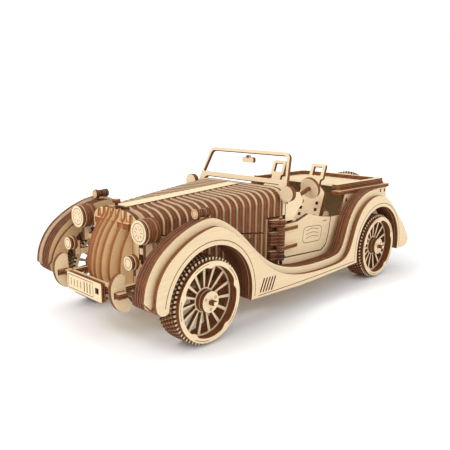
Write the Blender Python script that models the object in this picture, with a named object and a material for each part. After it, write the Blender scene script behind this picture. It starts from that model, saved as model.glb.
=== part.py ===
"""Wooden open roadster kit: a model car assembled from flat sheets of thin plywood.

The car stands on its four wheels with its nose towards -Y, its left side towards +X and +Z up.
The origin is on the ground under the middle of the car.  Sizes in the code are millimetres, and
the helpers turn them into metres.  Sheets are cut outlines given a thickness, as on the real kit.
"""
import bpy
import bmesh
from math import atan2, cos, degrees, floor, hypot, pi, radians, sin
from mathutils import Matrix, Vector

MM = 0.001

# ---- driving dimensions (millimetres) -------------------------------------------------------
PLY = 3.0                   # sheet thickness
GAP = 0.3                   # clearance between glued sheets
NOSE_Y = -165.0             # foremost point, the front of the overriders
TAIL_Y = 165.0              # rearmost point, the spare wheel's nut

AXLE_Z = 29.4               # axle height, which is also the tyre's rolling radius
FRONT_AXLE_Y = -111.5
REAR_AXLE_Y = 105.0
TYRE_SIDES = 30             # the tyre is a polygon that rests on one flat
TYRE_IN = 50.6              # wheel faces, measured out from the car's middle plane
TYRE_OUT = 69.4
RIM_R = 22.5
SPOKE_COUNT = 15
HUB_R = 6.0
AXLE_R = 2.2
BORE_R = 2.7
HUB_END = 74.0

ARCH_R = 37.4               # wheel-arch radius in the outer sheets
FRONT_ARCH_Y = -110.0
REAR_ARCH_Y = 102.5
SIDE_OUT = 70.5             # outer face of the outermost side sheet
RIM_STEP = 4.6              # how far the second sheet shows around the outermost one
FRONT_STEP = 2.4            # the same for the layers over the front wheel
RIM_OUT = 64.9              # outer face of the second sheet, which stands off on a spacer
WING_IN = 49.6              # inner face of the front wing's stack of layers
SILL_IN = 52.0              # inner face of the rear wing and sill layers

BODY_OUT = 50.0             # outer face of the cockpit side sheets and doors
BODY_IN = 47.0
FLOOR_Z = 23.4
FLOOR_TOP = FLOOR_Z + PLY
BELT_Z = 79.3               # underside of the belt rail
DECK_Z = BELT_Z + PLY + GAP

BONNET_FRONT_Y = -127.0     # first and last bonnet ribs
BONNET_REAR_Y = -19.0
RIB_PITCH = 6.0
SPINE_HALF = 6.2            # half width of the centre strip between the bonnet halves
SPINE_FRONT_Z = 86.2
SPINE_REAR_Z = 92.4

DOOR_PIN = (51.5, -19.0)    # door hinge axis, X and Y
DOOR_PIN_R = 1.3
STRAP_Z = (46.2, 61.0)      # mid heights of the two hinge straps

SCREEN_LEAN = 20.0          # windscreen lean, degrees
SCREEN_FOOT = (-8.2, 94.2)  # Y and Z of the foot line

STEER_AT = (31.6, 45.0, 84.8)
LEVER_AT = (0.0, 24.0, 31.5)
STEER_LEAN = 17.0           # degrees that the column slopes down to the dashboard
SPARE_AT = (0.0, 60.0)       # X and Z of the spare wheel
MOTOR_AT = (90.0, 52.0)     # Y and Z of the spring-motor drum

WOOD = (0.86, 0.70, 0.47, 1.0)
WOOD_DARK = (0.30, 0.15, 0.08, 1.0)
WOOD_WARM = (0.80, 0.52, 0.24, 1.0)


# ---- helpers --------------------------------------------------------------------------------
def clear_scene():
    for old in list(bpy.data.objects):
        bpy.data.objects.remove(old, do_unlink=True)


def new_collection(name):
    collection = bpy.data.collections.new(name)
    bpy.context.scene.collection.children.link(collection)
    return collection


def wood(name, colour):
    """A plain plywood finish."""
    material = bpy.data.materials.new(name)
    material.use_nodes = True
    shader = material.node_tree.nodes["Principled BSDF"]
    shader.inputs["Base Color"].default_value = colour
    shader.inputs["Roughness"].default_value = 0.65
    shader.inputs["Metallic"].default_value = 0.0
    return material


def arc(centre, radius, start, end, steps):
    """Points on a circle from one angle to another, both in degrees."""
    angles = [radians(start + (end - start) * i / steps) for i in range(steps + 1)]
    return [(centre[0] + radius * cos(a), centre[1] + radius * sin(a)) for a in angles]


def ring(centre, radius, sides):
    """A closed polygon with a flat at its lowest side."""
    turn = 180.0 / sides - 90.0
    return arc(centre, radius / cos(pi / sides), turn, turn + 360.0, sides)[:-1]


def smooth(points, steps):
    """A Catmull-Rom curve through the given points."""
    padded = [points[0]] + list(points) + [points[-1]]
    result = []
    for k in range(len(points) - 1):
        a, b, c, d = padded[k:k + 4]
        for i in range(steps):
            t = i / steps
            result.append(tuple(
                0.5 * (2 * b[j] + (c[j] - a[j]) * t + (2 * a[j] - 5 * b[j] + 4 * c[j] - d[j]) * t * t
                       + (3 * b[j] - a[j] - 3 * c[j] + d[j]) * t ** 3) for j in (0, 1)))
    result.append(tuple(points[-1]))
    return result


def offset(points, distance):
    """Points moved sideways off a curve; distance is a function of the point's first value."""
    result = []
    for i, (u, v) in enumerate(points):
        before = points[max(i - 1, 0)]
        after = points[min(i + 1, len(points) - 1)]
        du, dv = after[0] - before[0], after[1] - before[1]
        size = hypot(du, dv)
        step = distance(u)
        result.append((u - dv / size * step, v + du / size * step))
    return result


def rounded(corners, radius, steps=3):
    """A closed outline with its corners rounded; a corner may give its own radius."""
    result = []
    count = len(corners)
    for i, corner in enumerate(corners):
        here = Vector(corner[:2])
        size = corner[2] if len(corner) > 2 else radius
        back = Vector(corners[i - 1][:2]) - here
        ahead = Vector(corners[(i + 1) % count][:2]) - here
        turn = back.angle(ahead)
        cut = min(size / max(abs(sin(turn / 2) / cos(turn / 2)), 1e-6),
                  0.49 * back.length, 0.49 * ahead.length)
        if size <= 0:
            result.append(tuple(here))
            continue
        start = here + back.normalized() * cut
        end = here + ahead.normalized() * cut
        for k in range(steps + 1):
            t = k / steps
            point = start * (1 - t) ** 2 + here * 2 * t * (1 - t) + end * t * t
            result.append(tuple(point))
    return result


TURN = {"X": Matrix(((0, 0, 1), (1, 0, 0), (0, 1, 0))),
        "Y": Matrix(((1, 0, 0), (0, 0, -1), (0, 1, 0))),
        "Z": Matrix.Identity(3)}


def as_mesh(obj):
    """The evaluated shape of a curve or of a modified mesh, as a plain mesh object."""
    graph = bpy.context.evaluated_depsgraph_get()
    graph.update()
    mesh = bpy.data.meshes.new_from_object(obj.evaluated_get(graph))
    mesh.transform(obj.matrix_world)
    name = obj.name
    bpy.data.objects.remove(obj, do_unlink=True)
    work = bmesh.new()
    work.from_mesh(mesh)
    bmesh.ops.remove_doubles(work, verts=work.verts, dist=0.00001)
    bmesh.ops.recalc_face_normals(work, faces=work.faces)
    work.to_mesh(mesh)
    work.free()
    result = bpy.data.objects.new(name, mesh)
    bpy.context.scene.collection.objects.link(result)
    return result


def sheet(normal, outlines, low, high):
    """Flat outlines cut from a sheet that fills low to high along its normal.

    For normal X the outline's values are (Y, Z), for Y they are (X, Z) and for Z (X, Y).
    """
    curve = bpy.data.curves.new("sheet", "CURVE")
    curve.dimensions = "2D"
    curve.fill_mode = "BOTH"
    curve.extrude = (high - low) / 2 * MM
    for outline in outlines:
        spline = curve.splines.new("POLY")
        spline.points.add(len(outline) - 1)
        for point, (u, v) in zip(spline.points, outline):
            point.co = (u * MM, v * MM, 0.0, 1.0)
        spline.use_cyclic_u = True
    obj = bpy.data.objects.new("sheet", curve)
    bpy.context.scene.collection.objects.link(obj)
    middle = (low + high) / 2 * MM
    if normal == "Y":
        middle = -middle
    place = TURN[normal].to_4x4()
    obj.matrix_world = place @ Matrix.Translation((0, 0, middle))
    bpy.context.view_layer.update()
    return as_mesh(obj)


def rod(axis, centre, radius, low, high, sides=12):
    """A round bar along one axis; centre is its place on the other two, in X, Y, Z order."""
    return sheet(axis, [ring(centre, radius, sides)], low, high)


def box(low, high):
    bpy.ops.mesh.primitive_cube_add(size=1.0)
    obj = bpy.context.active_object
    size = [(b - a) * MM for a, b in zip(low, high)]
    middle = [(a + b) / 2 * MM for a, b in zip(low, high)]
    obj.matrix_world = Matrix.Translation(middle) @ Matrix.Diagonal((*size, 1.0))
    bpy.context.view_layer.update()
    return as_mesh(obj)


def combine(base, others, operation="UNION"):
    """Join the others to the base, or cut them from it, with exact booleans."""
    for other in others:
        modifier = base.modifiers.new("join", "BOOLEAN")
        modifier.operation = operation
        modifier.solver = "EXACT"
        modifier.object = other
        bpy.context.view_layer.update()
        graph = bpy.context.evaluated_depsgraph_get()
        mesh = bpy.data.meshes.new_from_object(base.evaluated_get(graph))
        base.modifiers.clear()
        base.data = mesh
        bpy.data.objects.remove(other, do_unlink=True)
    return base


def cleaned(obj):
    """Merge stray points and flatten needless splits, so the solid stays light."""
    work = bmesh.new()
    work.from_mesh(obj.data)
    bmesh.ops.remove_doubles(work, verts=work.verts, dist=0.00002)
    bmesh.ops.dissolve_limit(work, angle_limit=radians(0.5), verts=work.verts, edges=work.edges)
    bmesh.ops.triangulate(work, faces=work.faces)
    bmesh.ops.recalc_face_normals(work, faces=work.faces)
    work.to_mesh(obj.data)
    work.free()
    return obj


def mirrored(obj):
    """A copy of a finished object on the other side of the car's middle plane."""
    mesh = obj.data.copy()
    mesh.transform(Matrix.Diagonal((-1, 1, 1, 1)))
    mesh.flip_normals()
    copy = bpy.data.objects.new("mirrored", mesh)
    bpy.context.scene.collection.objects.link(copy)
    return copy


class Kit:
    """Collects the finished pieces, each with its name, finish and pivot."""

    def __init__(self):
        self.collection = new_collection("roadster")
        self.finishes = {"light": wood("ply_face", WOOD), "dark": wood("ply_edge", WOOD_DARK),
                         "warm": wood("ply_warm", WOOD_WARM)}

    def add(self, name, obj, finish="light", pivot=None):
        obj.name = name
        obj.data.name = name
        obj.data.materials.clear()
        obj.data.materials.append(self.finishes[finish])
        for owner in list(obj.users_collection):
            owner.objects.unlink(obj)
        self.collection.objects.link(obj)
        if pivot is not None:
            origin = Vector(pivot) * MM
            obj.data.transform(Matrix.Translation(-origin))
            obj.matrix_world = Matrix.Translation(origin)
        obj.data.shade_smooth()
        obj.data.set_sharp_from_angle(angle=radians(30))
        return obj

    def add_pair(self, name, make, finish="light", pivot=None):
        """The left piece and its mirror image."""
        left = make()
        right = mirrored(left)
        self.add(name + "_left", left, finish, pivot)
        far = None if pivot is None else (-pivot[0], pivot[1], pivot[2])
        self.add(name + "_right", right, finish, far)


# ---- wings and sills ------------------------------------------------------------------------
CREST = [(-157.4, 39.0), (-156.0, 47.5), (-152.0, 56.0), (-145.8, 63.2), (-136.4, 69.9), (-127.0, 74.6),
         (-117.0, 77.8), (-107.5, 78.9), (-98.0, 75.8), (-88.0, 69.8), (-78.0, 62.0), (-65.5, 50.6),
         (-53.0, 41.3), (-40.0, 34.6), (-23.0, 29.6), (-5.0, 27.2), (15.0, 26.4), (35.0, 26.9),
         (46.0, 29.2), (53.0, 35.0), (57.6, 44.5), (62.6, 56.5), (70.5, 67.3), (81.5, 74.3),
         (94.0, 77.4), (106.0, 76.4), (116.0, 72.4), (127.0, 64.6), (138.0, 55.2), (149.6, 44.6),
         (161.2, 30.6)]
TAIL_TIP = [(162.4, 27.4), (160.0, 23.6), (153.7, 21.2)]
NOSE_TIP = [(-150.2, 30.6), (-154.0, 31.4), (-156.8, 34.6)]
SILL_LINE = [(10.0, 19.8), (-16.0, 19.4)]
ARCH_DIP = 12.0             # degrees that the arches run below the axle line
ARCH_NOSE = 176.0


def crest_line(step):
    """The top line of a wing layer that stands out by a step, which fades away over the tail."""
    return offset(smooth(CREST, 2), lambda y: step * min(1.0, max(0.0, (132.0 - y) / 30.0)))


def side_outline(step):
    crest = crest_line(step)
    rear = arc((REAR_ARCH_Y, AXLE_Z), ARCH_R, -ARCH_DIP, 180 + ARCH_DIP, 14)
    front = arc((FRONT_ARCH_Y, AXLE_Z), ARCH_R, -ARCH_DIP, ARCH_NOSE, 14)
    return crest + TAIL_TIP + rear + SILL_LINE + front + NOSE_TIP


def front_wing_outline():
    """The layers over the front wheel, cut off level with the arch's rear foot."""
    crest = [p for p in crest_line(FRONT_STEP) if p[0] < -52.0]
    arch = arc((FRONT_ARCH_Y, AXLE_Z), ARCH_R + 0.8, -ARCH_DIP, ARCH_NOSE, 12)
    return crest + [(-52.0, FLOOR_Z)] + arch + [(-150.8, 30.8), (-155.0, 31.6), (-159.0, 34.6)]


def rear_wing_outline():
    """The layers along the sill and over the rear wheel."""
    crest = [p for p in crest_line(RIM_STEP) if p[0] > -38.0]
    arch = arc((REAR_ARCH_Y, AXLE_Z), ARCH_R + 0.8, -ARCH_DIP, 180 + ARCH_DIP, 12)
    return crest + TAIL_TIP + arch + [(10.0, 20.2), (-38.0, 20.2)]


def vent(k):
    """One slanted slot of the row behind the front wheel."""
    y, z = -64.6 + 3.1 * k, 24.8 - 0.2 * k
    return [(y, z), (y + 1.3, z), (y + 5.7, z + 9.8), (y + 4.4, z + 9.8)]


def rim_plate():
    """The second sheet, with the narrower spacer that holds it off the outermost one."""
    rim = sheet("X", [side_outline(RIM_STEP)], RIM_OUT - PLY, RIM_OUT)
    return cleaned(combine(rim, [sheet("X", [side_outline(-3.2)], RIM_OUT - 0.5, SIDE_OUT - PLY - GAP)]))


def add_wings(kit):
    layers_out = RIM_OUT - PLY - GAP
    vents = [vent(k) for k in range(5)]
    kit.add_pair("side_plate", lambda: sheet("X", [side_outline(0.0)] + vents, SIDE_OUT - PLY, SIDE_OUT))
    kit.add_pair("rim_plate", rim_plate)
    kit.add_pair("front_wing", lambda: sheet("X", [front_wing_outline()], WING_IN, layers_out), "dark")
    kit.add_pair("rear_wing", lambda: sheet("X", [rear_wing_outline()], SILL_IN, layers_out), "dark")


# ---- wheels ---------------------------------------------------------------------------------
def spoke_windows(centre):
    """Four-sided windows between the spokes."""
    pitch = 360.0 / SPOKE_COUNT
    windows = []
    for k in range(SPOKE_COUNT):
        middle = k * pitch
        outer = arc(centre, RIM_R - 2.5, middle - 0.36 * pitch, middle + 0.36 * pitch, 1)
        inner = arc(centre, HUB_R + 2.0, middle + 0.16 * pitch, middle - 0.16 * pitch, 1)
        windows.append(outer + inner)
    return windows


def wheel(y, bored=True):
    centre = (y, AXLE_Z)
    tyre = sheet("X", [ring(centre, AXLE_Z, TYRE_SIDES), ring(centre, RIM_R, 15)], TYRE_IN, TYRE_OUT)
    spokes = sheet("X", [ring(centre, RIM_R + 1.0, 15)] + spoke_windows(centre), 60.0, 63.0)
    hub = rod("X", centre, HUB_R, 55.0, TYRE_OUT - 0.4, 12)
    nut = rod("X", centre, 2.6, TYRE_OUT - 2.0, HUB_END, 6)
    body = combine(tyre, [spokes, hub, nut])
    if bored:
        body = combine(body, [rod("X", centre, BORE_R, 50.0, 66.5, 12)], "DIFFERENCE")
    return cleaned(body)


def add_wheels(kit):
    for place, y in (("front", FRONT_AXLE_Y), ("rear", REAR_AXLE_Y)):
        kit.add_pair("wheel_" + place, lambda y=y: wheel(y), "light", (0.0, y, AXLE_Z))
        kit.add(place + "_axle", rod("X", (y, AXLE_Z), AXLE_R, -66.0, 66.0), "dark", (0.0, y, AXLE_Z))


def gear(centre, root, tip, teeth, low, high, bore):
    """A toothed disc with straight-sided teeth."""
    outline = []
    for k in range(teeth):
        for radius, place in ((root, -0.33), (tip, -0.14), (tip, 0.14), (root, 0.33)):
            outline += arc(centre, radius, (k + place) * 360 / teeth, 0, 1)[:1]
    return sheet("X", [outline, ring(centre, bore, 12)], low, high)


GEAR_TEETH = 16
GEAR_MODULE = 1.9
PINION_TEETH = 12


def add_drive(kit):
    """The band motor: a drum whose gear turns the rear axle's gear."""
    axle = (REAR_AXLE_Y, AXLE_Z)
    span = hypot(MOTOR_AT[0] - REAR_AXLE_Y, MOTOR_AT[1] - AXLE_Z)
    wide = span * GEAR_TEETH / (GEAR_TEETH + PINION_TEETH)
    small = span - wide
    kit.add("rear_axle_gear", gear(axle, small - 1.6, small + 0.9, PINION_TEETH, 6.0, 9.0, BORE_R),
            "light", (0.0, *axle))
    aim = degrees(atan2(axle[1] - MOTOR_AT[1], axle[0] - MOTOR_AT[0]))
    drum_gear = gear(MOTOR_AT, wide - 1.6, wide + 0.9, GEAR_TEETH, 6.0, 9.0, 0.6)
    # a tooth of the drum's gear stands in the axle gear's nearest gap
    step = 360.0 / PINION_TEETH
    gap_angle = step * (floor((aim + 180.0) / step) + 0.5)
    turn = aim + (aim + 180.0 - gap_angle) * PINION_TEETH / GEAR_TEETH
    pivot = Vector((0.0, *MOTOR_AT)) * MM
    drum_gear.data.transform(Matrix.Translation(pivot) @ Matrix.Rotation(radians(turn), 4, "X")
                             @ Matrix.Translation(-pivot))
    drum = rod("X", MOTOR_AT, 7.0, -9.0, 6.5, 16)
    pin = rod("X", MOTOR_AT, 2.0, -15.0, 15.0, 12)
    kit.add("motor_drum", cleaned(combine(drum, [drum_gear, pin])), "light", (0.0, *MOTOR_AT))
    outline = rounded([(80.0, FLOOR_TOP + GAP), (114.0, FLOOR_TOP + GAP), (114.0, 40.0), (97.0, 60.0),
                       (83.0, 60.0)], 2.0)
    frame = sheet("X", [outline, ring(MOTOR_AT, 2.5, 12), ring(axle, BORE_R, 12)], 11.0, 14.0)
    other = mirrored(frame)
    tie = box((-13.0, 83.0, FLOOR_TOP + GAP + 0.2), (13.0, 87.0, 30.0))
    kit.add("motor_frame", cleaned(combine(frame, [other, tie])))


# ---- bonnet ---------------------------------------------------------------------------------
def along(y, front, rear):
    """A value that runs evenly from the first bonnet rib to the last."""
    share = (y - BONNET_FRONT_Y) / (BONNET_REAR_Y - BONNET_FRONT_Y)
    return front + (rear - front) * share


def bonnet_half_width(y):
    share = (y - BONNET_FRONT_Y) / (BONNET_REAR_Y - BONNET_FRONT_Y)
    return 26.5 + 20.5 * share ** 0.85


def bonnet_top(y):
    return along(y, SPINE_FRONT_Z, SPINE_REAR_Z)


def shoulder(y):
    """Drop and run of the rounded shoulder."""
    return along(y, 9.5, 8.5), along(y, 15.0, 10.5)


def profile(y, inset, foot, near=0.0, steps=4):
    """Half of the bonnet's cross-section from the centre outwards and down to a foot height."""
    wide = bonnet_half_width(y) - inset
    top = bonnet_top(y) - inset
    drop, run = shoulder(y)
    crown = along(y, 1.6, 0.8)
    curve = [(near, top), (wide - run, top - crown)]
    for k in range(1, steps + 1):
        a = radians(90 - 90 * k / steps)
        curve.append((wide - run + run * cos(a), top - crown - drop + drop * sin(a)))
    curve.append((wide, foot))
    return curve


RIB_DEPTH = 5.5             # how deep a rib's cheek is
LID_FRONT_Z = 69.0          # lower edge of the opening halves, front and rear
LID_REAR_Z = 58.0
CHEEK_FRONT_Z = 66.0
CHEEK_FOOT_Z = 27.0


def rib(y, foot, near):
    """One bonnet layer: the section's curve outside, three straight cuts inside."""
    outer = profile(y, 0.0, foot, near)
    wide, top = bonnet_half_width(y) - RIB_DEPTH, bonnet_top(y) - RIB_DEPTH
    inner = [(wide, foot), (wide, top - 9.0), (wide - 10.0, top - 1.6), (near, top)]
    return sheet("Y", [outer + inner], y - PLY / 2, y + PLY / 2)


def rib_places():
    count = int(round((BONNET_REAR_Y - BONNET_FRONT_Y) / RIB_PITCH)) + 1
    return [BONNET_FRONT_Y + RIB_PITCH * k for k in range(count)]


def loft(sections):
    """A closed solid between cross-sections, each a loop of (x, z) at its own y."""
    work = bmesh.new()
    loops = [[work.verts.new((x * MM, y * MM, z * MM)) for x, z in loop] for y, loop in sections]
    size = len(loops[0])
    for a, b in zip(loops, loops[1:]):
        for i in range(size):
            j = (i + 1) % size
            work.faces.new((a[i], a[j], b[j], b[i]))
    work.faces.new(loops[0])
    work.faces.new(loops[-1][::-1])
    bmesh.ops.recalc_face_normals(work, faces=work.faces)
    mesh = bpy.data.meshes.new("loft")
    work.to_mesh(mesh)
    work.free()
    obj = bpy.data.objects.new("loft", mesh)
    bpy.context.scene.collection.objects.link(obj)
    return obj


def band(y, high, low):
    """The inner skin that ties the ribs together, as a thin strip of the section."""
    outer = profile(y, RIB_DEPTH - 3.2, low, high, 2)
    return outer + profile(y, RIB_DEPTH - 1.4, low, high, 2)[::-1]


def lid_foot(y):
    """Lower edge of the opening half, which stops short above the hinge post."""
    return 70.2 if y > -27.0 else along(y, LID_FRONT_Z, LID_REAR_Z)


def bonnet_half():
    near = SPINE_HALF + GAP + 0.2
    ribs = [rib(y, lid_foot(y), near) for y in rib_places()]
    ends = (BONNET_FRONT_Y, -91.0, -55.0, BONNET_REAR_Y)
    skin = loft([(y, band(y, near, 70.6)) for y in ends])
    return cleaned(combine(skin, ribs))


def cheek():
    """The fixed lower ribs between the opening half and the sill."""
    sheets = []
    for y in rib_places()[:-2]:
        wide = bonnet_half_width(y)
        top = along(y, LID_FRONT_Z, LID_REAR_Z) - 0.8
        foot = along(y, CHEEK_FRONT_Z - 22.0, CHEEK_FOOT_Z)
        corners = [(wide - RIB_DEPTH, foot), (wide, foot), (wide, top), (wide - RIB_DEPTH, top)]
        sheets.append(sheet("Y", [corners], y - PLY / 2, y + PLY / 2))

    def wall(y):
        wide = bonnet_half_width(y)
        top = along(y, LID_FRONT_Z, LID_REAR_Z) - 1.4
        foot = along(y, CHEEK_FRONT_Z - 22.0, CHEEK_FOOT_Z) + 0.5
        return [(wide - 4.6, foot), (wide - 2.4, foot), (wide - 2.4, top), (wide - 4.6, top)]

    skin = loft([(y, wall(y)) for y in (BONNET_FRONT_Y, -91.0, -55.0, -30.5)])
    return cleaned(combine(skin, sheets))


def spine():
    """The light strip along the top of the bonnet, with a web beneath it."""
    low, high = BONNET_FRONT_Y - 4.0, BONNET_REAR_Y + 1.2

    def section(y):
        top = bonnet_top(y)
        return [(-SPINE_HALF, top - PLY), (SPINE_HALF, top - PLY), (SPINE_HALF, top), (-SPINE_HALF, top)]

    def web(y):
        top = bonnet_top(y) - PLY + 0.5
        return [(-1.5, top - 5.0), (1.5, top - 5.0), (1.5, top), (-1.5, top)]

    strip = loft([(low, section(low)), (high, section(high))])
    return cleaned(combine(strip, [loft([(low + 1.0, web(low + 1.0)), (high - 1.0, web(high - 1.0))])]))


def add_bonnet(kit):
    hinge = (SPINE_HALF, (BONNET_FRONT_Y + BONNET_REAR_Y) / 2, (SPINE_FRONT_Z + SPINE_REAR_Z) / 2)
    kit.add_pair("bonnet", bonnet_half, "dark", hinge)
    kit.add_pair("engine_side", cheek, "dark")
    kit.add("bonnet_spine", spine())


# ---- nose -----------------------------------------------------------------------------------
SLAT_COUNT = 7
SLAT_PITCH = 6.2
SLAT_BACK_Y = -136.2
SHELL_Y = (-135.8, -132.8)


def slat_nose(x):
    """How far forward a slat's face stands; the middle one leads."""
    return -153.4 + 7.0 * (abs(x) / 18.6) ** 2.2


def slat(x):
    """One upright slat: a bowed front edge, a straight back."""
    nose = slat_nose(x)
    lead = [(nose + 6.5, 32.5), (nose + 1.2, 38.5), (nose, 45.0), (nose + 0.9, 54.0), (nose + 3.6, 63.0),
            (nose + 8.2, 72.0), (min(nose + 14.5, SLAT_BACK_Y - 0.5), 80.0)]
    top = 84.6 - 3.4 * (abs(x) / 18.6) ** 2
    front = smooth(lead, 2)
    return sheet("X", [[(SLAT_BACK_Y, 30.0), (nose + 9.5, 30.0)] + front + [(SLAT_BACK_Y, top)]],
                 x - PLY / 2, x + PLY / 2)


def add_nose(kit):
    places = [SLAT_PITCH * (k - (SLAT_COUNT - 1) / 2) for k in range(SLAT_COUNT)]
    slats = [slat(x) for x in places]
    reach = places[-1] + 1.0
    ties = [box((-reach, SLAT_BACK_Y - 3.4, z), (reach, SLAT_BACK_Y - 0.4, z + 4.0)) for z in (33.0, 54.0, 73.0)]
    kit.add("grille_slats", cleaned(combine(ties[0], slats + ties[1:])), "warm")

    y = BONNET_FRONT_Y
    outer = profile(y, 0.2, 44.0)
    outline = [(-x, z) for x, z in outer[::-1]] + outer[1:] + [(24.0, 30.0), (-24.0, 30.0)]
    inner = rounded([(-16, 40), (16, 40), (16, 70), (-16, 70)], 4.0)
    post = rod("Z", (0.0, -134.3), 1.2, 84.0, 89.0, 10)
    cap = rod("Z", (0.0, -134.3), 2.8, 88.6, 91.0, 12)
    kit.add("radiator_shell", cleaned(combine(sheet("Y", [outline, inner], *SHELL_Y), [post, cap])), "dark")

    headlamp = combine(rod("Y", (36.2, 74.7), 7.6, -143.4, -140.4, 20),
                       [rod("Y", (36.2, 74.7), 8.4, -140.8, -131.4, 20),
                        rod("Y", (36.2, 74.7), 3.0, -131.9, -129.6, 12),
                        box((34.7, -139.0, 57.0), (37.7, -133.4, 68.0)),
                        box((26.8, -135.8, 57.6), (36.0, -132.8, 62.0))])
    kit.add("headlight_left", cleaned(headlamp), "dark")
    kit.add("headlight_right", mirrored(headlamp), "dark")
    foglamp = combine(rod("Y", (36.3, 56.3), 4.4, -152.0, -149.0, 16),
                      [rod("Y", (36.3, 56.3), 5.0, -149.4, -146.6, 16),
                       box((34.9, -147.0, 50.4), (37.7, -143.0, 57.4)),
                       box((34.9, -147.0, 47.0), (37.7, -133.4, 51.4)),
                       box((26.8, -135.8, 47.6), (36.0, -132.8, 50.8))])
    kit.add("fog_lamp_left", cleaned(foglamp), "light")
    kit.add("fog_lamp_right", mirrored(foglamp), "light")
    marker = combine(rod("Y", (57.6, 86.0), 3.3, -115.0, -112.6, 14),
                     [rod("Y", (57.6, 86.0), 2.7, -113.0, -106.6, 14),
                      rod("Y", (57.6, 86.0), 3.1, -107.0, -103.6, 14),
                      box((56.6, -111.6, 81.9), (58.6, -107.6, 84.6))])
    kit.add("marker_lamp_left", cleaned(marker), "dark")
    kit.add("marker_lamp_right", mirrored(marker), "dark")


OVERRIDER = [(-154.2, 49.0), (-157.5, 50.8), (-161.6, 49.0), (-164.4, 44.6), (-165.0, 39.0), (-163.6, 33.0),
             (-160.6, 28.2), (-156.4, 25.2), (-152.2, 24.6), (-149.6, 27.0), (-150.6, 31.6), (-153.4, 37.0)]


def add_bumper(kit):
    kit.add_pair("overrider", lambda: sheet("X", [OVERRIDER, [(-162.6, 35.2), (-155.2, 35.2), (-155.2, 39.4),
                                                                (-162.6, 39.4)]], 33.0, 36.0))
    bar = box((-32.6, -158.6, 35.6), (32.6, -152.6, 39.0))
    tabs = [box((side * 36 - 4.5, -162.2, 35.6), (side * 36 + 4.5, -155.6, 39.0)) for side in (-1, 1)]
    stem = [box((x - 1.5, -154.0, 35.6), (x + 1.5, -139.0, 39.0)) for x in (-28.5, 28.5)]
    kit.add("bumper_bar", cleaned(combine(bar, tabs + stem)), "dark")
    corners = [(-21.0, 28.5), (21.0, 28.5), (21.0, 41.5), (-21.0, 41.5)]
    window = [(13.8, 33.6), (17.6, 33.6), (17.6, 37.4), (13.8, 37.4)]
    kit.add("number_plate", sheet("Y", [rounded(corners, 1.2, 2), window], -162.0, -159.0))


# ---- chassis and cabin ----------------------------------------------------------------------
def add_chassis(kit):
    corners = [(24.0, -138.0), (24.0, -128.0), (44.0, -60.0), (51.7, -48.0), (51.7, 58.0), (44.0, 66.0),
               (44.0, 149.6)]
    outline = [(-x, y) for x, y in corners[::-1]] + corners
    window = [(-10.4, 91.0), (-10.4, 119.0), (10.4, 119.0), (10.4, 91.0)]
    kit.add("floor_plate", sheet("Z", [outline, window], FLOOR_Z, FLOOR_TOP))
    block = box((-20.0, -118.0, FLOOR_TOP + GAP), (20.0, -105.0, 37.0))
    cut = rod("X", (FRONT_AXLE_Y, AXLE_Z), BORE_R, -21.0, 21.0)
    slot = box((-21.0, FRONT_AXLE_Y - 0.6, 26.0), (21.0, FRONT_AXLE_Y + 0.6, AXLE_Z))
    kit.add("front_axle_block", cleaned(combine(block, [cut, slot], "DIFFERENCE")))
    core = box((-11.0, -100.0, FLOOR_TOP + GAP), (11.0, -38.0, 52.0))
    heads = [rod("Z", (0.0, -92.0 + 12.0 * k), 4.4, 51.0, 60.0, 12) for k in range(5)]
    kit.add("engine_block", cleaned(combine(core, heads)), "warm")


def body_side_outline():
    """The sill under the door and the quarter behind it, in one sheet."""
    return [(-13.8, FLOOR_TOP + GAP), (74.0, FLOOR_TOP + GAP), (80.0, 44.0), (149.8, 44.0),
            (149.8, BELT_Z - GAP), (73.0, BELT_Z - GAP), (70.2, 70.0), (66.9, 61.4), (52.95, 61.4),
            (50.75, 47.8), (47.2, 37.8), (40.3, 33.4), (-10.4, 36.0), (-13.8, 36.0)]


DOOR = [(-13.4, 41.0), (-9.6, 36.8), (40.0, 34.2), (46.5, 38.5), (50.0, 48.0), (52.2, 61.6), (37.0, 63.8),
        (19.5, 68.2), (4.6, 63.8), (-13.4, 63.4)]


def door():
    leaf = sheet("X", [DOOR], BODY_IN, BODY_OUT)
    px, py = DOOR_PIN
    straps = []
    for z in STRAP_Z:
        outline = [(54.8, -1.0), (47.6, -1.0), (47.6, -12.4)] + arc((px, py), 3.6, 150.0, 360.0, 10)
        straps.append(sheet("Z", [outline], z - PLY / 2, z + PLY / 2))
    leaf = combine(leaf, straps)
    return cleaned(combine(leaf, [rod("Z", DOOR_PIN, DOOR_PIN_R + 0.4, 36.0, 72.0, 12)], "DIFFERENCE"))


def pillar():
    """The post in front of the door: a pin held by lugs, with gaps for the door's straps."""
    px, py = DOOR_PIN
    post = box((41.0, -29.0, FLOOR_TOP + GAP), (46.6, -14.6, 69.4))
    lugs = []
    edges = (36.6, STRAP_Z[0] - 2.1), (STRAP_Z[0] + 2.1, STRAP_Z[1] - 2.1), (STRAP_Z[1] + 2.1, 68.6)
    for low, high in edges:
        outline = [(46.0, -28.4), (px - 1.6, -28.4)] + arc((px, py), 3.6, -80.0, 70.0, 5) + [(46.0, -15.2)]
        lugs.append(sheet("Z", [outline], low, high))
    pin = rod("Z", DOOR_PIN, DOOR_PIN_R, 38.0, 70.2, 12)
    return cleaned(combine(post, lugs + [pin]))


def horseshoe(outer_x, front, back, inner_x, inner_back, corner):
    """A U-shaped sheet, open to the front, with a half-oval inside."""
    outer = [(outer_x, front)] + rounded([(outer_x, back, corner), (-outer_x, back, corner), (-outer_x, front, 0),
                                          (outer_x, front, 0)], corner)[:8] + [(-outer_x, front)]
    dip = inner_back - front
    inner = [(-inner_x * cos(radians(a)), front + dip * sin(radians(a)) ** 0.6) for a in range(0, 181, 15)]
    return outer + inner


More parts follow.
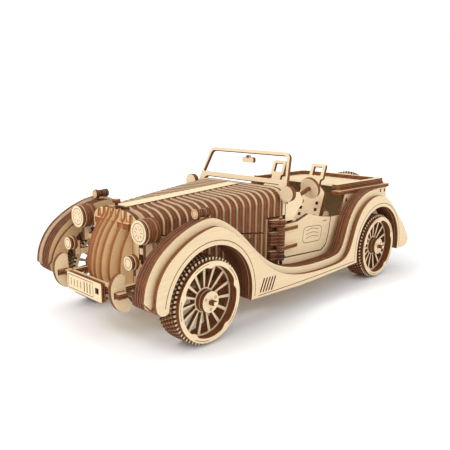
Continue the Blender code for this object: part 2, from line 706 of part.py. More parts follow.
def add_cabin(kit):
    kit.add_pair("body_side", lambda: sheet("X", [body_side_outline()], BODY_IN, BODY_OUT))
    pivot = (DOOR_PIN[0], DOOR_PIN[1], sum(STRAP_Z) / 2)
    kit.add_pair("door", door, "light", pivot)
    kit.add_pair("hinge_pillar", pillar, "dark")
    kit.add("belt_rail", cleaned(sheet("Z", [horseshoe(51.4, 62.0, 154.4, 43.0, 128.0, 5.0)], BELT_Z,
                                       BELT_Z + PLY)), "warm")
    front = [(-47.0 + 9.4 * k, 74.0 + 5.0 * sin(pi * k / 10)) for k in range(11)]
    kit.add("rear_deck", cleaned(sheet("Z", [front + [(47.0, 148.0), (-47.0, 148.0)]], DECK_Z, DECK_Z + 1.6)))
    rim = rounded([(48.4, 62.7, 0.3), (48.4, 146.0, 4.0), (-48.4, 146.0, 4.0), (-48.4, 62.7, 0.3),
                   (-43.2, 62.7, 0.3), (-43.2, 140.0, 6.0), (43.2, 140.0, 6.0), (43.2, 62.7, 0.3)], 1.0)
    kit.add("deck_rim", cleaned(sheet("Z", [rim], DECK_Z + 1.9, DECK_Z + 5.4)), "dark")
    kit.add("tail_panel", sheet("Y", [rounded([(-45.5, 30.0), (45.5, 30.0), (46.5, 78.9), (-46.5, 78.9)], 2.0)],
                                150.2, 153.2))
    spare = combine(rod("Y", SPARE_AT, AXLE_Z, 155.2, 162.6, TYRE_SIDES),
                    [rod("Y", SPARE_AT, 6.0, 153.6, 163.4, 16), rod("Y", SPARE_AT, 2.6, 163.0, TAIL_Y, 6)])
    kit.add("spare_wheel", cleaned(spare))

    wall = profile(BONNET_REAR_Y, 0.4, 70.6)[1:] + [(40.6, 70.6), (40.6, FLOOR_TOP + GAP)]
    outline = [(-x, z) for x, z in wall[::-1]] + wall
    kit.add("firewall", sheet("Y", [outline], BONNET_REAR_Y + 1.9, BONNET_REAR_Y + 4.7), "dark")
    lip = [(38.0, 92.6), (43.4, 91.6), (47.0, 88.8), (47.4, 86.0), (47.4, 70.2), (40.6, 70.2)]
    outline = [(-x, z) for x, z in lip[::-1]] + lip
    jambs = [box((side * 46.0 - 1.2, -12.0, 70.4), (side * 46.0 + 1.2, -8.6, 86.0)) for side in (-1, 1)]
    arch = sheet("Y", [outline], BONNET_REAR_Y + 5.0, BONNET_REAR_Y + 7.2)
    kit.add("cowl", cleaned(combine(arch, jambs)))

    kit.add("windscreen_frame", screen())
    mirror = combine(box((-6.4, -1.2, 108.0), (6.4, 1.8, 112.4)), [box((-1.5, -1.6, 112.0), (1.5, 1.4, 114.0))])
    kit.add("rear_view_mirror", cleaned(mirror))
    kit.add_pair("side_mirror", side_mirror)
    kit.add("dashboard", dashboard())

    add_controls(kit)
    kit.add_pair("seat", lambda: seat(22.6))


def dashboard():
    """The instrument board between the two scuttle sides."""
    board = box((-45.0, -4.0, 70.0), (45.0, -1.0, 89.0))
    outline = [(-8.0, 65.0), (2.0, 65.0), (15.0, 79.0), (10.0, 87.0), (-4.0, 88.0), (-8.0, 86.0)]
    sides = [sheet("X", [outline], side, side + PLY) for side in (-47.2, 44.2)]
    return cleaned(combine(board, sides))


def side_mirror():
    disc = rod("Y", (54.4, 88.6), 6.2, -17.0, -12.2, 16)
    return cleaned(combine(disc, [box((48.0, -13.6, 80.4), (53.0, -12.4, 86.0))]))


def screen():
    """The windscreen frame, leaning back from its foot line."""
    feet, head, tall = 49.6, 44.6, 25.6
    outer = rounded([(-feet, -5.4, 1.0), (-feet + 3.4, -5.4, 0), (-feet + 9.0, -0.6, 3.0),
                     (feet - 9.0, -0.6, 3.0), (feet - 3.4, -5.4, 0), (feet, -5.4, 1.0), (head, tall, 6.0),
                     (-head, tall, 6.0)], 1.0)
    window = rounded([(-feet + 3.4, 3.4, 1.0), (feet - 3.4, 3.4, 1.0), (head - 2.7, tall - 2.7, 4.0),
                      (-head + 2.7, tall - 2.7, 4.0)], 1.0)
    obj = sheet("Y", [outer, window], -PLY / 2, PLY / 2)
    foot = Vector((0.0, SCREEN_FOOT[0], SCREEN_FOOT[1])) * MM
    obj.data.transform(Matrix.Translation(foot) @ Matrix.Rotation(-radians(SCREEN_LEAN), 4, "X"))
    return cleaned(obj)


def add_controls(kit):
    x, y, z = STEER_AT
    wheel_disc = rod("Y", (x, z), 9.5, y, y + PLY, 20)
    column = rod("Y", (x, z), 1.8, y - 46.6, y + 1.0, 10)
    steering = combine(wheel_disc, [column])
    centre = Vector(STEER_AT) * MM
    steering.data.transform(Matrix.Translation(centre) @ Matrix.Rotation(radians(STEER_LEAN), 4, "X")
                            @ Matrix.Translation(-centre))
    kit.add("steering_wheel", cleaned(steering), "light", STEER_AT)
    x, y, z = LEVER_AT
    lever = combine(sheet("X", [rounded([(y - 2.4, z - 3.0), (y + 2.4, z - 3.0), (y + 1.4, z + 30.0),
                                         (y - 1.4, z + 30.0)], 1.0)], x - 1.5, x + 1.5),
                    [rod("X", (y, z + 31.0), 3.4, x - 2.0, x + 2.0, 14)])
    kit.add("drive_lever", cleaned(lever), "light", LEVER_AT)


def seat(x):
    """Two side cheeks, a squab, a backrest and an open headrest, all joined."""
    half = 15.0
    squab = box((x - half + 1.2, 30.0, 40.0), (x + half - 1.2, 53.0, 43.0))
    cheeks = []
    low = FLOOR_TOP + GAP
    side_cut = rounded([(29.0, low, 1.0), (60.0, low, 1.0), (69.0, 62.0, 3.0), (61.0, 64.0, 3.0),
                        (51.0, 47.0, 4.0), (29.0, 45.0, 3.0)], 1.0)
    for side in (x - half, x + half - PLY):
        cheeks.append(sheet("X", [side_cut], side, side + PLY))
    lean = Matrix.Translation(Vector((0, 51.0, 44.0)) * MM) @ Matrix.Rotation(radians(-20), 4, "X")
    outline = rounded([(x - half + 1.6, -4.0, 1.0), (x + half - 1.6, -4.0, 1.0), (x + half - 1.6, 38.0, 5.0),
                       (x + 5.4, 44.0, 3.0), (x + 5.4, 48.6, 1.0), (x + 7.8, 50.0, 1.0), (x + 7.8, 63.4, 2.0),
                       (x - 7.8, 63.4, 2.0), (x - 7.8, 50.0, 1.0), (x - 5.4, 48.6, 1.0), (x - 5.4, 44.0, 3.0),
                       (x - half + 1.6, 38.0, 5.0)], 1.0, 2)
    window = [(x - 4.4, 52.4), (x + 4.4, 52.4), (x + 4.4, 60.6), (x - 4.4, 60.6)]
    back = sheet("Y", [outline, window], -PLY / 2, PLY / 2)
    back.data.transform(lean)
    return cleaned(combine(squab, cheeks + [back]))


# ---- the whole car --------------------------------------------------------------------------
def main():
    clear_scene()
    kit = Kit()
    add_chassis(kit)
    add_wheels(kit)
    add_drive(kit)
    add_wings(kit)
    add_bonnet(kit)
    add_nose(kit)
    add_bumper(kit)
    add_cabin(kit)


main()
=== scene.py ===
"""Wooden roadster kit: the finished look of a model car cut from thin plywood sheets.

Every piece is a sheet or a pack of sheets.  Shapes are worked out as numpy arrays in millimetres,
with the car's nose towards -Y, its left side towards +X and +Z up.
"""

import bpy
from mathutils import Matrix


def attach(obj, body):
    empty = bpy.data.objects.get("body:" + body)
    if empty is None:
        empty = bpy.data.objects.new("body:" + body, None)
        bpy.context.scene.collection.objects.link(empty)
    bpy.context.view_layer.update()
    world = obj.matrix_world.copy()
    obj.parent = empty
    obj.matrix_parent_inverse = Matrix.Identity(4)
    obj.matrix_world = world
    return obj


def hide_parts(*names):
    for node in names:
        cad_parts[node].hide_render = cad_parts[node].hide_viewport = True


bl_info = {
    "name": "Wooden Roadster Kit",
    "version": (1, 0, 0),
    "blender": (4, 5, 0),
    "location": "View3D > Sidebar > Roadster",
    "description": "Builds a laser-cut plywood roadster sheet by sheet",
    "category": "Add Mesh",
}

import bpy
import numpy as np
from bpy.props import FloatProperty, FloatVectorProperty, IntProperty, PointerProperty
from mathutils import Matrix, Vector, geometry

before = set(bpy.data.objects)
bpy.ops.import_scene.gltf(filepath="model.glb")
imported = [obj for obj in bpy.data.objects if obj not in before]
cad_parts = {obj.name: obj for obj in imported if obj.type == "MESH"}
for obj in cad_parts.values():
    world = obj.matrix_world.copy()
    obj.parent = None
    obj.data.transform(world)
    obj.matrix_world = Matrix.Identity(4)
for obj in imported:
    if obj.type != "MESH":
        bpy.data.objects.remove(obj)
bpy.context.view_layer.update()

MM = 0.001
PLY = 3.0
SIDES = (("left", 1.0), ("right", -1.0))


# ---- flat curves ----------------------------------------------------------------------------
def arc(centre, radius, start, end, count):
    """Points on a circle: centre + radius * (cos a, sin a), with a even from start to end degrees."""
    a = np.radians(np.linspace(start, end, count))
    return np.stack([centre[0] + radius * np.cos(a), centre[1] + radius * np.sin(a)], 1)


def circle(centre, radius, count=48):
    """A closed circle that starts at its lowest point."""
    return arc(centre, radius, -90.0, 270.0, count + 1)[:-1]


def swept(points, steps):
    """A Catmull-Rom curve: on each span the cubic whose ends are two points and whose end slopes
    are half the chords of their neighbours."""
    p = np.asarray(points, float)
    pad = np.vstack([p[:1], p, p[-1:]])
    s = np.linspace(0, len(p) - 1, (len(p) - 1) * steps + 1)
    i = np.minimum(s.astype(int), len(p) - 2)
    t = (s - i)[:, None]
    a, b, c, d = pad[i], pad[i + 1], pad[i + 2], pad[i + 3]
    return 0.5 * (2 * b + (c - a) * t + (2 * a - 5 * b + 4 * c - d) * t ** 2
                  + (3 * b - a - 3 * c + d) * t ** 3)


def beside(points, distance):
    """A curve moved sideways to its left by a distance that may change along it."""
    g = np.gradient(points, axis=0)
    g /= np.linalg.norm(g, axis=1)[:, None]
    d = np.broadcast_to(distance, len(points))[:, None]
    return points + np.stack([-g[:, 1], g[:, 0]], 1) * d


def rounded(corners, radius, steps=5):
    """A closed outline whose corners are quadratic curves that leave and meet the sides at the
    radius divided by the tangent of half the turn, or at just under half a side."""
    p = np.asarray(corners, float)
    r = p[:, 2] if p.shape[1] > 2 else np.full(len(p), float(radius))
    p = p[:, :2]
    back, ahead = np.roll(p, 1, 0) - p, np.roll(p, -1, 0) - p
    lb, la = np.linalg.norm(back, axis=1), np.linalg.norm(ahead, axis=1)
    turn = np.arccos(np.clip((back * ahead).sum(1) / (lb * la), -1, 1))
    cut = np.minimum.reduce([np.maximum(r, 0.02) / np.maximum(np.tan(turn / 2), 1e-6), 0.49 * lb, 0.49 * la])
    a = p + back / lb[:, None] * cut[:, None]
    b = p + ahead / la[:, None] * cut[:, None]
    t = np.linspace(0, 1, steps + 1)[None, :, None]
    curve = a[:, None] * (1 - t) ** 2 + p[:, None] * 2 * t * (1 - t) + b[:, None] * t ** 2
    return curve.reshape(-1, 2)


def box_outline(low, high, radius=0.15):
    """A rectangle with barely softened corners."""
    return rounded([(low[0], low[1]), (high[0], low[1]), (high[0], high[1]), (low[0], high[1])], radius, 2)


def cog(centre, tip, root, teeth, phase=0.0, share=0.5):
    """A square-toothed circle: four points a tooth, the outer two at the tip radius and over that
    share of the pitch, the inner two at the root radius."""
    k = np.arange(teeth)[:, None]
    place = np.array([-0.5, -0.5, 0.5, 0.5]) * share
    a = 2 * np.pi * (k + phase + place).ravel() / teeth
    r = np.tile([root, tip, tip, root], teeth)
    return np.stack([centre[0] + r * np.cos(a), centre[1] + r * np.sin(a)], 1)


# ---- solids ---------------------------------------------------------------------------------
AXES = {"X": (2, 0, 1), "Y": (0, 2, 1), "Z": (0, 1, 2)}


def placed(flat, along, normal):
    """In-plane points and their heights along the sheet's normal, as points of the car."""
    q = np.empty((len(flat), 3))
    q[:, :2] = flat
    q[:, 2] = along
    return q[:, AXES[normal]]


def part(verts, quads, tris, quad_uv, tri_uv, quad_cut, tri_cut):
    """One closed solid.  Its signed volume, the sum of the triple products of its triangles,
    tells whether its faces point outwards, and they are turned round if they don't."""
    both = np.vstack([quads[:, [0, 1, 2]], quads[:, [0, 2, 3]], tris])
    a, b, c = verts[both[:, 0]], verts[both[:, 1]], verts[both[:, 2]]
    if np.einsum("ij,ij->i", a, np.cross(b, c)).sum() < 0:
        quads, tris = quads[:, ::-1], tris[:, ::-1]
        quad_uv, tri_uv = quad_uv[:, ::-1], tri_uv[:, ::-1]
    return {"v": verts, "q": quads, "t": tris, "qu": quad_uv, "tu": tri_uv, "qc": quad_cut, "tc": tri_cut}


def area(p):
    """Signed area of a closed outline."""
    q = np.roll(p, -1, 0)
    return 0.5 * (p[:, 0] * q[:, 1] - q[:, 0] * p[:, 1]).sum()


def sheet(normal, outlines, low, high, soft=0.14, grain=0.0):
    """A cut sheet: each outline carries the edge profile (set in, low), (0, low + soft),
    (0, high - soft), (set in, high) round itself, and the two faces fill between the outlines."""
    loops = []
    for k, outline in enumerate(outlines):
        p = np.asarray(outline, float)
        keep = np.linalg.norm(p - np.roll(p, 1, 0), axis=1) > 1e-4
        p = p[keep]
        loops.append(p if (area(p) > 0) == (k == 0) else p[::-1])
    inset = np.array([soft, 0.0, 0.0, soft]) * 0.8
    level = np.array([low, low + soft, high - soft, high])
    verts, quads, quad_uv, caps, start = [], [], [], [], 0
    for p in loops:
        n = len(p)
        e = np.roll(p, -1, 0) - p
        e /= np.linalg.norm(e, axis=1)[:, None]
        out = np.stack([e[:, 1], -e[:, 0]], 1)
        both = out + np.roll(out, 1, 0)
        mitre = both / np.maximum((both ** 2).sum(1) / 2, 0.5)[:, None]
        rows = p[None] - mitre[None] * inset[:, None, None]
        verts.append(np.vstack([placed(rows[r], level[r], normal) for r in range(4)]))
        i, j = np.arange(n), (np.arange(n) + 1) % n
        length = np.concatenate([[0], np.cumsum(np.linalg.norm(np.roll(p, -1, 0) - p, axis=1))])
        for r in range(3):
            quads.append(start + np.stack([r * n + i, r * n + j, (r + 1) * n + j, (r + 1) * n + i], 1))
            u0, u1 = length[:-1], length[1:]
            v0, v1 = level[r] - low, level[r + 1] - low
            quad_uv.append(np.stack([np.stack([u0, u0 * 0 + v0], 1), np.stack([u1, u0 * 0 + v0], 1),
                                     np.stack([u1, u0 * 0 + v1], 1), np.stack([u0, u0 * 0 + v1], 1)], 1))
        caps.append((rows[3], start))
        start += 4 * n
    flat = np.vstack([rows for rows, _ in caps])
    fill = np.array(geometry.tessellate_polygon([[Vector((x, y, 0)) for x, y in rows] for rows, _ in caps]))
    a, b, c = flat[fill[:, 0]], flat[fill[:, 1]], flat[fill[:, 2]]
    turn = (b[:, 0] - a[:, 0]) * (c[:, 1] - a[:, 1]) - (b[:, 1] - a[:, 1]) * (c[:, 0] - a[:, 0])
    fill = np.where((turn < 0)[:, None], fill[:, ::-1], fill)
    top = np.concatenate([start_k + 3 * len(rows) + np.arange(len(rows)) for rows, start_k in caps])
    bottom = np.concatenate([start_k + np.arange(len(rows)) for rows, start_k in caps])
    tris = np.vstack([top[fill], bottom[fill[:, ::-1]]])
    g = np.radians(grain)
    plan = np.stack([flat[:, 0] * np.cos(g) + flat[:, 1] * np.sin(g),
                     flat[:, 1] * np.cos(g) - flat[:, 0] * np.sin(g)], 1)
    tri_uv = np.concatenate([plan[fill], plan[fill[:, ::-1]]])
    quads, quad_uv = np.vstack(quads), np.concatenate(quad_uv)
    return part(np.vstack(verts), quads, tris, quad_uv, tri_uv, np.ones(len(quads)), np.zeros(len(tris)))


def groove(normal, path, width, face, closed=False):
    """A burnt line on a sheet's face: a shallow rectangle, half the width to each side and 0.03
    proud of the face, carried along the path.  face is (height, +1 or -1)."""
    p = np.asarray(path, float)
    if closed:
        p = np.vstack([p, p[:1]])
    g = np.gradient(p, axis=0)
    if closed:
        g[0] = g[-1] = p[1] - p[-2]
    g /= np.linalg.norm(g, axis=1)[:, None]
    side = np.stack([-g[:, 1], g[:, 0]], 1) * width / 2
    height, way = face
    rows = [(p - side, height - way * 0.2), (p + side, height - way * 0.2),
            (p + side, height + way * 0.03), (p - side, height + way * 0.03)]
    n = len(p)
    verts = np.vstack([placed(q, h, normal) for q, h in rows])
    i = np.arange(n - 1)
    quads = [np.stack([r * n + i, r * n + i + 1, (r + 1) % 4 * n + i + 1, (r + 1) % 4 * n + i], 1)
             for r in range(4)]
    ends = np.array([[0, n, 2 * n, 3 * n], [4 * n - 1, 3 * n - 1, 2 * n - 1, n - 1]])
    quads = np.vstack(quads + [ends])
    uv = np.zeros((len(quads), 4, 2))
    uv[:, :, 1] = 1.5
    none = np.zeros((0, 3), int)
    return part(verts, quads, none, uv, np.zeros((0, 3, 2)), np.full(len(quads), 1.0), np.zeros(0))


def loft(sections, cut=1.0):
    """A closed solid through cross-sections, each a closed loop made of an outer curve and the
    same number of points back along an inner curve; the ends are ladders between the two."""
    s = np.asarray(sections, float)
    rows, n = s.shape[:2]
    half = n // 2
    i, j = np.arange(n), (np.arange(n) + 1) % n
    quads = [np.stack([r * n + i, r * n + j, (r + 1) * n + j, (r + 1) * n + i], 1) for r in range(rows - 1)]
    k = np.arange(half - 1)
    ladder = np.stack([k, n - 1 - k, n - 2 - k, k + 1], 1)
    quads = np.vstack(quads + [ladder, (rows - 1) * n + ladder[:, ::-1]])
    v = s.reshape(-1, 3)
    uv = v[quads][:, :, [1, 2]]
    none = np.zeros((0, 3), int)
    return part(v, quads, none, uv, np.zeros((0, 3, 2)), np.full(len(quads), cut), np.zeros(0))


def moved(one, turn=None, about=(0, 0, 0), shift=(0, 0, 0), mirror=False):
    """A part turned by a 3 x 3 matrix about a point, shifted, or mirrored to the car's other side."""
    v = one["v"].copy()
    if turn is not None:
        v = (v - about) @ np.asarray(turn).T + about
    v = v + shift
    new = dict(one, v=v)
    if mirror:
        new["v"] = v * (-1, 1, 1)
        new["q"], new["qu"] = one["q"][:, ::-1], one["qu"][:, ::-1]
        new["t"], new["tu"] = one["t"][:, ::-1], one["tu"][:, ::-1]
    return new


def rod(axis, centre, radius, low, high, count=32):
    """A round bar or disc along one axis."""
    return sheet(axis, [circle(centre, radius, count)], low, high)


def block(low, high, normal="Z"):
    """A small square-cut piece whose faces look along its normal."""
    a, b, c = {"X": (1, 2, 0), "Y": (0, 2, 1), "Z": (0, 1, 2)}[normal]
    return sheet(normal, [box_outline((low[a], low[b]), (high[a], high[b]))], low[c], high[c])


def turn_x(degrees):
    """Rotation about X."""
    c, s = np.cos(np.radians(degrees)), np.sin(np.radians(degrees))
    return np.array([[1, 0, 0], [0, c, -s], [0, s, c]])


# ---- plywood --------------------------------------------------------------------------------
class Wood:
    """Node material for plywood: pale figured faces, and edges browned by the laser in layers."""

    def __init__(self, name):
        self.material = bpy.data.materials.new(name)
        self.material.use_nodes = True
        self.nodes = self.material.node_tree.nodes
        self.links = self.material.node_tree.links
        self.shader = self.nodes["Principled BSDF"]

    def node(self, kind, **values):
        made = self.nodes.new(kind)
        for key, value in values.items():
            setattr(made, key, value)
        return made

    def link(self, source, target):
        self.links.new(source, target)

    def noise(self, vector, scale, size, detail=3.0, rough=0.55):
        """Noise stretched by a scale for each axis."""
        mapping = self.node("ShaderNodeMapping")
        mapping.inputs["Scale"].default_value = scale
        self.link(vector, mapping.inputs["Vector"])
        made = self.node("ShaderNodeTexNoise")
        made.inputs["Scale"].default_value = size
        made.inputs["Detail"].default_value = detail
        made.inputs["Roughness"].default_value = rough
        self.link(mapping.outputs["Vector"], made.inputs["Vector"])
        return made.outputs["Fac"]

    def ramp(self, factor, stops, mode="LINEAR"):
        """A colour ramp from (place, colour) pairs."""
        made = self.node("ShaderNodeValToRGB")
        made.color_ramp.interpolation = mode
        elements = made.color_ramp.elements
        while len(elements) < len(stops):
            elements.new(0.5)
        for element, (place, colour) in zip(elements, stops):
            element.position = place
            element.color = (*colour, 1.0)
        self.link(factor, made.inputs["Fac"])
        return made.outputs["Color"]

    def mix(self, factor, a, b, mode="MIX"):
        """Two colours mixed, by a number or a socket."""
        made = self.node("ShaderNodeMix", data_type="RGBA", blend_type=mode)
        for socket, value in ((made.inputs["Factor"], factor), (made.inputs[6], a), (made.inputs[7], b)):
            if isinstance(value, (int, float)):
                socket.default_value = value
            elif isinstance(value, tuple):
                socket.default_value = (*value, 1.0)
            else:
                self.link(value, socket)
        return made.outputs[2]

    def maths(self, operation, a, b=0.0, c=0.0):
        made = self.node("ShaderNodeMath", operation=operation)
        for socket, value in zip(made.inputs, (a, b, c)):
            if isinstance(value, (int, float)):
                socket.default_value = value
            else:
                self.link(value, socket)
        return made.outputs[0]


def tint(colour, factor):
    """A colour made lighter or darker."""
    return tuple(min(1.0, float(c) * factor) for c in colour[:3])


def plywood(name, face, edge, glow, kept=None, lines=2):
    """Plywood in the three tones of its face, its burnt edge and the browned ply between.

    New pieces carry the edges in an attribute and a UV map whose V runs across the sheet in
    millimetres.  A kept piece has neither: its faces are those square to the axis named."""
    wood = Wood(name)
    if kept is None:
        cut = wood.node("ShaderNodeAttribute", attribute_name="cut").outputs["Fac"]
        tone = wood.node("ShaderNodeAttribute", attribute_name="tone").outputs["Fac"]
        place = wood.node("ShaderNodeUVMap", uv_map="Sheet").outputs["UV"]
    else:
        normal = wood.node("ShaderNodeSeparateXYZ")
        wood.link(wood.node("ShaderNodeNewGeometry").outputs["Normal"], normal.inputs[0])
        facing = wood.maths("ABSOLUTE", normal.outputs["XYZ".index(kept)])
        cut = wood.maths("LESS_THAN", facing, 0.7)
        where = wood.node("ShaderNodeTexCoord").outputs["Object"]
        grown = wood.node("ShaderNodeVectorMath", operation="SCALE")
        grown.inputs["Scale"].default_value = 1000.0
        wood.link(where, grown.inputs[0])
        parts = wood.node("ShaderNodeSeparateXYZ")
        wood.link(grown.outputs[0], parts.inputs[0])
        joined = wood.node("ShaderNodeCombineXYZ")
        order = {"X": (1, 2), "Y": (0, 2), "Z": (0, 1)}[kept]
        wood.link(parts.outputs[order[0]], joined.inputs[0])
        wood.link(parts.outputs[order[1]], joined.inputs[1])
        place = joined.outputs[0]
        tone = wood.maths("ADD", 0.5, 0.0)

    figure = wood.noise(place, (0.035, 0.9, 1.0), 1.0, 5.0, 0.6)
    cloud = wood.noise(place, (0.02, 0.05, 1.0), 1.0, 2.0, 0.5)
    pores = wood.noise(place, (0.25, 4.5, 1.0), 1.0, 2.0, 0.7)
    base = wood.ramp(figure, [(0.30, tint(face, 0.90)), (0.52, face), (0.75, tint(face, 1.06))])
    base = wood.mix(wood.maths("MULTIPLY", cloud, 0.35), base, tint(face, 0.88), "MIX")
    base = wood.mix(wood.ramp(pores, [(0.62, (0, 0, 0)), (0.75, (0.35, 0.35, 0.35))]), base, tint(face, 0.72))
    warmth = wood.ramp(tone, [(0.0, (0.93, 0.90, 0.86)), (1.0, (1.03, 1.02, 1.0))])
    base = wood.mix(1.0, base, warmth, "MULTIPLY")

    across = wood.node("ShaderNodeSeparateXYZ")
    wood.link(place, across.inputs[0])
    ply = wood.maths("FRACT", wood.maths("DIVIDE", across.outputs[1], PLY))
    stops = [(0.0, tint(edge, 0.4)), (0.08, edge), (0.40, tint(edge, 1.1)), (0.46, glow), (0.56, glow),
             (0.62, tint(edge, 0.9)), (0.92, edge), (1.0, tint(edge, 0.4))]
    if lines == 2:
        stops = [(0.0, tint(edge, 0.55)), (0.10, edge), (0.22, tint(glow, 0.95)), (0.32, tint(glow, 0.8)),
                 (0.38, tint(edge, 0.7)), (0.60, tint(edge, 0.9)), (0.68, glow), (0.80, tint(glow, 0.9)),
                 (0.88, edge), (1.0, tint(edge, 0.55))]
    layers = wood.ramp(ply, stops)
    streaks = wood.noise(place, (0.9, 0.3, 1.0), 1.0, 3.0, 0.6)
    patches = wood.noise(place, (0.12, 0.02, 1.0), 1.0, 2.0, 0.5)
    char = wood.mix(wood.ramp(streaks, [(0.35, (0, 0, 0)), (0.7, (0.4, 0.4, 0.4))]), layers, tint(edge, 0.6))
    char = wood.mix(wood.ramp(patches, [(0.45, (0, 0, 0)), (0.75, (0.25, 0.25, 0.25))]), char, glow)
    colour = wood.mix(cut, base, char)
    wood.link(colour, wood.shader.inputs["Base Color"])
    rough = wood.maths("MULTIPLY_ADD", cut, 0.14, 0.58)
    wood.link(wood.maths("MULTIPLY_ADD", figure, 0.12, rough), wood.shader.inputs["Roughness"])
    wood.shader.inputs["Specular IOR Level"].default_value = 0.28
    bump = wood.node("ShaderNodeBump")
    bump.inputs["Strength"].default_value = 0.25
    bump.inputs["Distance"].default_value = 0.0002
    height = wood.mix(cut, wood.mix(0.5, figure, pores), wood.mix(0.5, streaks, ply))
    wood.link(height, bump.inputs["Height"])
    wood.link(bump.outputs["Normal"], wood.shader.inputs["Normal"])
    return wood.material


MATERIALS = {}


def finish_of(name):
    """The kit's finishes, made once from the panel's colours."""
    look = bpy.context.scene.roadster_look
    if not MATERIALS:
        pale, warm = tuple(look.face_colour), tuple(look.toasted_colour)
        edge, glow = tuple(look.edge_colour), tuple(look.glow_colour)
        MATERIALS["pale"] = plywood("plywood_pale", pale, edge, glow)
        MATERIALS["warm"] = plywood("plywood_toasted", warm, edge, glow)
        MATERIALS["rib"] = plywood("plywood_rib", tint(pale, 0.97), edge, glow)
        MATERIALS["stack"] = plywood("plywood_stack", tint(warm, 0.95), edge, glow, lines=1)
        MATERIALS["grille"] = plywood("plywood_grille", tint(warm, 1.05), tint(glow, 0.55), glow)
        for axis in "XYZ":
            MATERIALS["kept_" + axis] = plywood("plywood_kept_" + axis.lower(), pale, edge, glow, kept=axis)
    return MATERIALS[name]


ORDER = [0]


def make(name, parts, body, nodes, finish="pale"):
    """Puts a list of parts into one mesh object, with the UV map, the edge attribute and a tone
    for each part, and says which body it rides on and which nodes it stands for."""
    verts, quads, tris, qu, tu, qc, tc, qt, tt, start = [], [], [], [], [], [], [], [], [], 0
    for k, one in enumerate(parts):
        verts.append(one["v"])
        quads.append(one["q"] + start)
        tris.append(one["t"] + start)
        shift = np.array([((k + ORDER[0]) * 61.8) % 97.0, 0.0])
        qu.append(one["qu"] + shift)
        tu.append(one["tu"] + shift)
        qc.append(one["qc"])
        tc.append(one["tc"])
        value = ((k + ORDER[0]) * 0.618) % 1.0
        qt.append(np.full(len(one["q"]), value))
        tt.append(np.full(len(one["t"]), value))
        start += len(one["v"])
    ORDER[0] += len(parts)
    verts = np.vstack(verts) * MM
    quads, tris = np.vstack(quads), np.vstack(tris)
    mesh = bpy.data.meshes.new(name)
    mesh.from_pydata(verts, [], quads.tolist() + tris.tolist())
    uv = np.vstack([np.concatenate(qu).reshape(-1, 2), np.concatenate(tu).reshape(-1, 2)])
    layer = mesh.uv_layers.new(name="Sheet")
    layer.data.foreach_set("uv", uv.astype(np.float32).ravel())
    for key, values in (("cut", np.concatenate(qc + tc)), ("tone", np.concatenate(qt + tt))):
        mesh.attributes.new(key, "FLOAT", "FACE").data.foreach_set("value", values.astype(np.float32))
    mesh.shade_smooth()
    mesh.set_sharp_from_angle(angle=np.radians(28))
    mesh.materials.append(finish_of(finish))
    piece = bpy.data.objects.new(name, mesh)
    bpy.context.scene.collection.objects.link(piece)
    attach(piece, body)
    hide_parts(*nodes)
    return piece


def make_pair(name, parts, body, finish="pale", split=False):
    """A left piece and its mirror image; split says that each side has its own body."""
    for side, way in SIDES:
        mine = parts if way > 0 else [moved(one, mirror=True) for one in parts]
        rides = "%s_%s" % (body, side) if split else body
        make("%s_%s_piece" % (name, side), mine, rides, ["%s_%s" % (name, side)], finish)


# ---- wings ----------------------------------------------------------------------------------
AXLE_Z, FRONT_Y, REAR_Y = 29.4, -111.5, 105.0
FRONT_ARCH, REAR_ARCH, ARCH_R = (-110.0, 29.4), (102.5, 29.4), 37.4
CREST = [(-157.4, 39.0), (-156.0, 47.5), (-152.0, 56.0), (-145.8, 63.2), (-136.4, 69.9), (-127.0, 74.6),
         (-117.0, 77.8), (-107.5, 78.9), (-98.0, 75.8), (-88.0, 69.8), (-78.0, 62.0), (-65.5, 50.6),
         (-53.0, 41.3), (-40.0, 34.6), (-23.0, 29.6), (-5.0, 27.2), (15.0, 26.4), (35.0, 26.9),
         (46.0, 29.2), (53.0, 35.0), (57.6, 44.5), (62.6, 56.5), (70.5, 67.3), (81.5, 74.3),
         (94.0, 77.4), (106.0, 76.4), (116.0, 72.4), (127.0, 64.6), (138.0, 55.2), (149.6, 44.6),
         (161.2, 30.6)]


SIDE_OUT = 70.5                # outer face of the side sheet
RIM_IN, RIM_OUT = 61.9, 64.9   # the second sheet
SPACER_OUT = 67.2              # the spacer between the two
STACK_OUT = 61.6               # outer face of the layers over the wheels
FRONT_STEP, REAR_STEP = 2.4, 4.6   # how far the layers stand out past the side sheet
FRONT_END, REAR_START = -52.0, -38.0   # where the layers end behind the front wheel and start again


def crest(extra, low=-200.0, high=200.0):
    """The top line of a wing, moved out by extra, which fades over the tail."""
    line = swept(CREST, 6)
    fade = np.clip((132.0 - line[:, 0]) / 30.0, 0.0, 1.0)
    line = beside(line, extra * fade)
    return line[(line[:, 0] > low) & (line[:, 0] < high)]


def side_outline(extra):
    """The whole side sheet: crest, tail, rear arch, sill, front arch, nose."""
    tail = swept([(162.4, 27.4), (160.6, 23.9), (153.7, 21.2)], 3)
    rear = arc(REAR_ARCH, ARCH_R, -12, 192, 60)
    front = arc(FRONT_ARCH, ARCH_R, -12, 176, 56)
    nose = swept([(-150.2, 30.6), (-154.0, 31.4), (-156.8, 34.6)], 3)
    return np.vstack([crest(extra), tail, rear, [(10.0, 19.8), (-16.0, 19.4)], front, nose])


def vent(k):
    """One slanted slot of the vents behind the front arch."""
    y, z = -64.6 + 3.1 * k, 24.8 - 0.2 * k
    return rounded([(y, z), (y + 1.3, z), (y + 5.7, z + 9.8), (y + 4.4, z + 9.8)], 0.4, 2)


def stepped(outline, name):
    """The innermost wing layer: its top line is set in, so that a step shows inside the wing."""
    ends = {"high": FRONT_END} if name == "front_wing" else {"low": REAR_START}
    top = len(crest(0.0, **ends))
    line = outline.copy()
    line[:top] = beside(outline[:top], -4.5 * np.sin(np.pi * np.linspace(0, 1, top)) ** 0.4)
    return line


